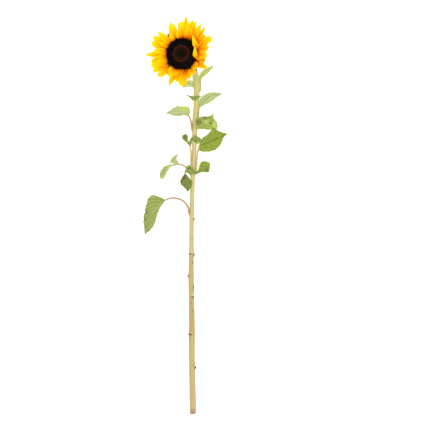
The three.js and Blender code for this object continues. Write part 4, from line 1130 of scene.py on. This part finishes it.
def measured_petal(number, places, finish, warmth, slant=0.0):
    name = f"petal_{number:02d}"
    piece = petal_mesh(f"{name}_skin", places, warmth, slant)
    finished(piece, finish, replaces=[name], smooth_angle=60)


def ray_petals(finish, rng):
    for number, (clock, reach, width, blunt) in enumerate(PETALS, 1):
        line = petal_line(clock, reach, number % 3 - 1)
        places = lance_places(*line, width, PETAL_ROOT_WIDTH, **petal_folds(blunt, rng))
        warmth = warmth_at(clock, rng) + WARMER_PETALS.get(number, 0.0)
        measured_petal(number, places, finish, warmth, rng.uniform(-0.3, 0.3))


def leaning_petals(finish):
    for number, (root_clock, clock, reach, height, width) in enumerate(LEANING_PETALS, len(PETALS) + 1):
        out = unit(head_point_under(root_clock, PETAL_ROOT_RADIUS, 0))
        root = out * (PETAL_ROOT_RADIUS + 0.3) + np.array([0, 0, PETAL_ROOT_HEIGHT + 2.5 * TIER_STEP])
        tip = head_point_under(clock, reach, height)
        pull = (root + (tip - root) * 0.35) * 1.02
        pull[2] = root[2] + (tip[2] - root[2]) * 0.85
        side = out + np.array([0, 0, 0.35])
        places = lance_places(root, pull, tip, side, width * 1.2, 1.6, widest=0.62, cup=-0.2, pleats=0.15,
                              shoulder=0.3, point=0.36)
        measured_petal(number, places, finish, 0.1)


def under_petals(finish, rng):
    """Short petals at random between each two of the measured ones."""
    made = []
    for number, (clock, reach, _, _) in enumerate(PETALS, 1):
        next_clock, next_reach, _, _ = PETALS[number % len(PETALS)]
        middle = clock + (next_clock - clock) % 360 * rng.uniform(0.35, 0.65)
        shorter = min(reach, next_reach) * rng.uniform(0.78, 0.92) * UNDER_PETAL_REACHES.get(number, 1.0)
        line = petal_line(middle % 360, shorter, rng.choice([-1.7, 1.6]))
        places = lance_places(*line, rng.uniform(7, 9.5), 4.5, size=UNDER_PETAL_GRID,
                              **petal_folds(rng.uniform(0.3, 0.9), rng))
        warmth = warmth_at(middle, rng) + 0.15
        made.append(petal_mesh(f"under_petal_{number}", places, warmth, rng.uniform(-0.3, 0.3)))
    finished(joined("under_petals", made), finish, smooth_angle=60)


def petals():
    finish = petal_finish()
    rng = np.random.default_rng(21)
    ray_petals(finish, rng)
    leaning_petals(finish)
    under_petals(finish, rng)


# The disc

DISC_PROFILE = np.array([
    [0, 6.4], [7, 7.0], [11.2, 7.4], [13.4, 8.2], [15.8, 6.9], [23, 5.6], [27.2, 4.7], [34.2, 2.0]])
GOLDEN_ANGLE = math.pi * (3 - math.sqrt(5))
HEART_EDGE = 10.8
RING_EDGE = 16.2
DARK_SPOT = (-11.6, 634.7)
DARK_SPOT_RADIUS = 4
FLORET_JITTER = 0.12

# The belts of florets: inner and outer radius, spacing, length of a floret, seed, and how far the
# outermost lean out
BELTS = {
    "outer_florets": (RING_EDGE, 34.0, 1.95, 5.4, 31, 0.3),
    "ring_florets": (HEART_EDGE, RING_EDGE, 1.45, 3.8, 32, 0.0),
    "heart_florets": (0.0, HEART_EDGE, 1.22, 2.2, 33, 0.0),
}


def disc_height(radius):
    return np.interp(radius, DISC_PROFILE[:, 0], DISC_PROFILE[:, 1])


def turned_places(radii, heights, sides):
    """Rings about the head's axis, of one radius and height each."""
    angle = np.linspace(0, 2 * math.pi, sides + 1)
    ring = np.stack([np.cos(angle), np.sin(angle)], axis=1)
    heights = np.repeat(heights[:, None, None], sides + 1, axis=1)
    return np.concatenate([radii[..., None] * ring[None], heights], axis=2)


def disc_bed():
    """The dark bed that the florets stand on."""
    radii = np.array([0.01, 4, 8, 11, 13.4, 16, 20, 24, 27.0, 28.7, 28.4])
    heights = disc_height(radii) - np.array([1.8, 1.8, 1.8, 2.4, 3.2, 3.4, 3.6, 3.8, 3.8, 3.8, 5.8])
    places = turned_places(radii[:, None], heights, 64)
    piece = close_tube(shaped_grid("disc_bed", from_head(places[:, ::-1])))
    finished(piece, floret_finish("disc_bed_skin", srgb(12, 6, 5), srgb(26, 14, 10)))


def open_floret(name, size, curl):
    """An open floret: a tube whose five lobes spread, with a dark column and two curled tips."""
    tube_part = stacked(f"{name}_tube", 10, [(0, 0.5), (1.6, 0.62), (2.9, 0.66), (3.4, 0.92)])
    for index, vertex in enumerate(tube_part.data.vertices):
        if vertex.co.z > 3.3 and index % 2:
            vertex.co.x *= 0.74
            vertex.co.y *= 0.74
            vertex.co.z -= 0.35
    column = stacked(f"{name}_column", 5, [(2.6, 0.34), (4.0, 0.36), (4.4, 0.16)])
    tips = []
    for sign in (-1, 1):
        tip = stacked(f"{name}_tip", 4, [(4.2, 0.12), (4.7, 0.13), (5.0, 0.12), (5.1, 0.05)])
        for vertex in tip.data.vertices:
            reach = max(vertex.co.z - 4.3, 0)
            vertex.co.x += sign * reach * curl
            vertex.co.z -= reach ** 2 * 0.45
        tips.append(tip)
    whole = joined(name, [tube_part, column, *tips])
    whole.data.transform(whole.matrix_world.Scale(size, 4))
    return whole


def bud(name, height, radius):
    return stacked(name, 6, [
        (0, radius * 0.7), (height * 0.5, radius), (height * 0.85, radius * 0.8), (height, radius * 0.2)])


def floret_places(inner, outer, spacing, rng):
    """Places in a golden spiral between two radii of the disc."""
    count = int((outer / spacing) ** 2 * math.pi)
    number = np.arange(count) + 0.5
    radius = outer * np.sqrt(number / count)
    angle = number * GOLDEN_ANGLE
    keep = radius >= inner
    radius, angle = radius[keep], angle[keep]
    scallops = 0.5 + 0.5 * np.sin(angle * 27 + 2 * np.sin(angle * 5))
    radius = radius - 1.5 * scallops * step_between(0.88, 1.0, radius / outer)
    radius = radius + rng.normal(0, FLORET_JITTER, len(radius)) * spacing
    angle = angle + rng.normal(0, FLORET_JITTER, len(angle)) * spacing / radius
    return np.maximum(radius, 0.1), angle


def belt(name, finish, *models):
    """A belt of florets that stand on the disc, with their tops at its height."""
    inner, outer, spacing, length, seed, lean = BELTS[name]
    rng = np.random.default_rng(seed)
    radius, angle = floret_places(inner, outer, spacing, rng)
    slope = (disc_height(radius + 0.6) - disc_height(radius - 0.6)) / 1.2
    tilt = np.arctan(-slope) * 0.75 + lean * (radius / DISC_RADIUS) ** 3
    out = np.stack([np.cos(angle), np.sin(angle), angle * 0], axis=1)
    direction = out * np.sin(tilt)[:, None] + UP * np.cos(tilt)[:, None]
    direction = unit(direction + rng.normal(0, 0.07, direction.shape))
    sizes = rng.uniform(0.86, 1.06, len(radius))
    root = out * radius[:, None] + UP * disc_height(radius)[:, None] - direction * (length * sizes)[:, None]
    frames = frames_along(direction @ HEAD_FRAME, rng.uniform(0, 6.28, len(radius)))
    picks = rng.integers(0, len(models), len(radius))
    piece = scattered(name, models, from_head(root), frames, sizes, picks)
    finished(piece, finish, replaces=[f"disc_{name}"], smooth_angle=40)


def disc():
    black = floret_finish("outer_floret_skin", srgb(8, 2, 2), srgb(26, 11, 8), 0.7)
    brown = floret_finish("ring_floret_skin", srgb(66, 26, 8), srgb(114, 54, 22), 0.8)
    disc_bed()
    belt("outer_florets", black, open_floret("open_a", 1.0, 0.7), open_floret("open_b", 0.95, 1.1))
    belt("ring_florets", brown, open_floret("ring_a", 0.8, 0.8), bud("ring_b", 3.8, 0.7))
    belt("heart_florets", heart_finish(), bud("heart_a", 2.4, 0.62), bud("heart_b", 2.2, 0.56))


# The calyx

RECEPTACLE_PROFILE = np.array([
    [0.01, -20], [6.8, -20], [10, -18], [17, -14.6], [24, -10.6], [28, -7], [29, -5.2], [28.4, -4.2],
    [26, -4.0], [0.01, -4.0]])
RECEPTACLE_ROWS = 64
RECEPTACLE_SIDES = 96
BRACT_COUNT = 22
BRACT_REACH = 43.0
HIGH_BRACT_REACH = 37.0
LOWEST_RIM_CLOCK = 299.0
BRACT_THICKNESS = 0.5
BRACT_ROOT_WIDTH = 11.0


def bract_blade(out, root, pull, tip, width, **folds):
    """A bract from its root, through its pull, both given by how far out and how high they are, to its
    tip."""
    root = out * root[0] + UP * root[1]
    pull = out * pull[0] + UP * pull[1]
    side = np.cross([0, 0, 1], out)
    return lance_places(root, pull, tip, side, width, BRACT_ROOT_WIDTH, size=BRACT_GRID, shoulder=0.5,
                        pleats=0.12, **folds)


def outer_bract_places(clock, inner, rng):
    """A bract that springs from the receptacle's side, with its tip on the surface on the low side."""
    from_low = abs((clock - LOWEST_RIM_CLOCK + 540) % 360 - 180)
    lift = float(step_between(50.0, 160.0, from_low))
    reach = BRACT_REACH + (HIGH_BRACT_REACH - BRACT_REACH) * lift + 2 * inner + rng.uniform(-2.5, 1.5)
    angle = math.radians(clock + rng.uniform(-4, 4))
    height = 0.8 + rng.uniform(0, 4) + (22 + 4 * inner) * lift - HEAD_CENTRE[2]
    tip = HEAD_FRAME @ np.array([math.sin(angle) * reach, math.cos(angle) * reach, height])
    out = unit(np.array([tip[0], tip[1], 0.0]))
    return bract_blade(out, (24, -9.4 + 1.6 * inner), (36, -8.2 + 1.6 * inner), tip, rng.uniform(12, 15),
                       widest=0.32, cup=-0.25, point=0.34, bend=rng.uniform(-3.0, 2.0),
                       twist=rng.uniform(-0.4, 0.4))


def inner_bract_places(clock, rng):
    """A bract of the inner ring, which spreads out flat under the petals."""
    angle = math.radians(clock)
    out = np.array([math.cos(angle), math.sin(angle), 0.0])
    reach = rng.uniform(40, 46)
    tip = out * reach + UP * rng.uniform(-3.4, 2.4)
    return bract_blade(out, (25.5, -6.6), (reach - 6, -7.2), tip, 12.5, widest=0.3, cup=0.3, point=0.36,
                       twist=rng.uniform(-0.25, 0.25))


def receptacle():
    steps = np.linspace(0, len(RECEPTACLE_PROFILE) - 1, RECEPTACLE_ROWS)
    knots = np.arange(len(RECEPTACLE_PROFILE))
    radii, heights = [np.interp(steps, knots, column) for column in RECEPTACLE_PROFILE.T]
    angle = np.linspace(0, 2 * math.pi, RECEPTACLE_SIDES + 1)
    ripple = 1 + 0.012 * np.cos(angle * BRACT_COUNT)[None] * step_between(8.0, 16.0, radii)[:, None]
    places = turned_places(radii[:, None] * ripple, heights, RECEPTACLE_SIDES)
    body = close_tube(shaped_grid("receptacle", from_head(places)))
    finished(body, receptacle_finish(), replaces=["calyx"])


def bracts():
    rng = np.random.default_rng(41)
    made = []
    for index in range(BRACT_COUNT):
        clock = 360 * index / BRACT_COUNT
        for places in (outer_bract_places(clock, index % 2, rng), inner_bract_places(clock, rng)):
            bract = shaped_grid(f"bract_{len(made)}", from_head(places))
            apply_modifier(bract, "SOLIDIFY", thickness=BRACT_THICKNESS * MM, offset=0.0)
            made.append(bract)
    finished(joined("bracts", made), calyx_finish(), smooth_angle=60)


# Floor, light and camera

MM_PER_PIXEL = 1.76
PHOTO_PIXELS = 430
CUT_END_PIXEL = (193.0, 413.5)
CAMERA_HEIGHT = 15.0
SENSOR_WIDTH = 36.0
LAMP_PLACE = (0.5, -0.4, 2.5)
LAMP_POWER = 25.5
SKY_LIGHT = 0.72
WHITE = (1, 1, 1, 1)


def stage():
    bpy.ops.object.select_all(action="DESELECT")
    bpy.ops.mesh.primitive_plane_add(size=80)
    floor = bpy.context.object
    floor.name = "floor"
    paint = Finish("floor_paint").done(srgb(248, 248, 248), 0.9, glow=0.5, through=WHITE, specular=0.1)
    floor.data.materials.append(paint)
    world = bpy.data.worlds.new("studio")
    bpy.context.scene.world = world
    world.use_nodes = True
    nodes, links = world.node_tree.nodes, world.node_tree.links
    seen = nodes.new("ShaderNodeLightPath").outputs["Is Camera Ray"]
    strength = nodes.new("ShaderNodeMapRange")
    strength.inputs["To Min"].default_value = SKY_LIGHT
    strength.inputs["To Max"].default_value = 1.0
    links.new(seen, strength.inputs["Value"])
    background = nodes["Background"]
    background.inputs["Color"].default_value = WHITE
    links.new(strength.outputs["Result"], background.inputs["Strength"])
    bpy.ops.object.light_add(type="AREA", location=LAMP_PLACE)
    lamp = bpy.context.object
    lamp.data.shape = "DISK"
    lamp.data.size = 2.0
    lamp.data.energy = LAMP_POWER
    lamp.rotation_euler = Vector(LAMP_PLACE).to_track_quat("Z", "Y").to_euler()


def photo_camera():
    centre = (PHOTO_PIXELS / 2 - CUT_END_PIXEL[0], CUT_END_PIXEL[1] - PHOTO_PIXELS / 2)
    x, y = (offset * MM_PER_PIXEL * MM + place for offset, place in zip(centre, CUT_END))
    bpy.ops.object.camera_add(location=(x, y, CAMERA_HEIGHT), rotation=(0, 0, 0))
    camera = bpy.context.object
    camera.data.sensor_width = SENSOR_WIDTH
    camera.data.lens = SENSOR_WIDTH * CAMERA_HEIGHT / (PHOTO_PIXELS * MM_PER_PIXEL * MM)
    camera.data.clip_end = 100
    bpy.context.scene.camera = camera


# The whole plant

photo_camera()
stage()
bpy.context.scene.view_settings.view_transform = "Standard"
stem()
stubs()
stem_hairs()
stalk_skin = stalk_finish()
for stalk_name, (stalk_radii, stalk_path) in STALKS.items():
    stalk(stalk_name, stalk_radii, stalk_path, stalk_skin)
for leaf_number, (leaf_name, leaf_shape) in enumerate(LEAVES.items()):
    leaf(leaf_name, leaf_shape, leaf_number)
receptacle()
bracts()
disc()
petals()
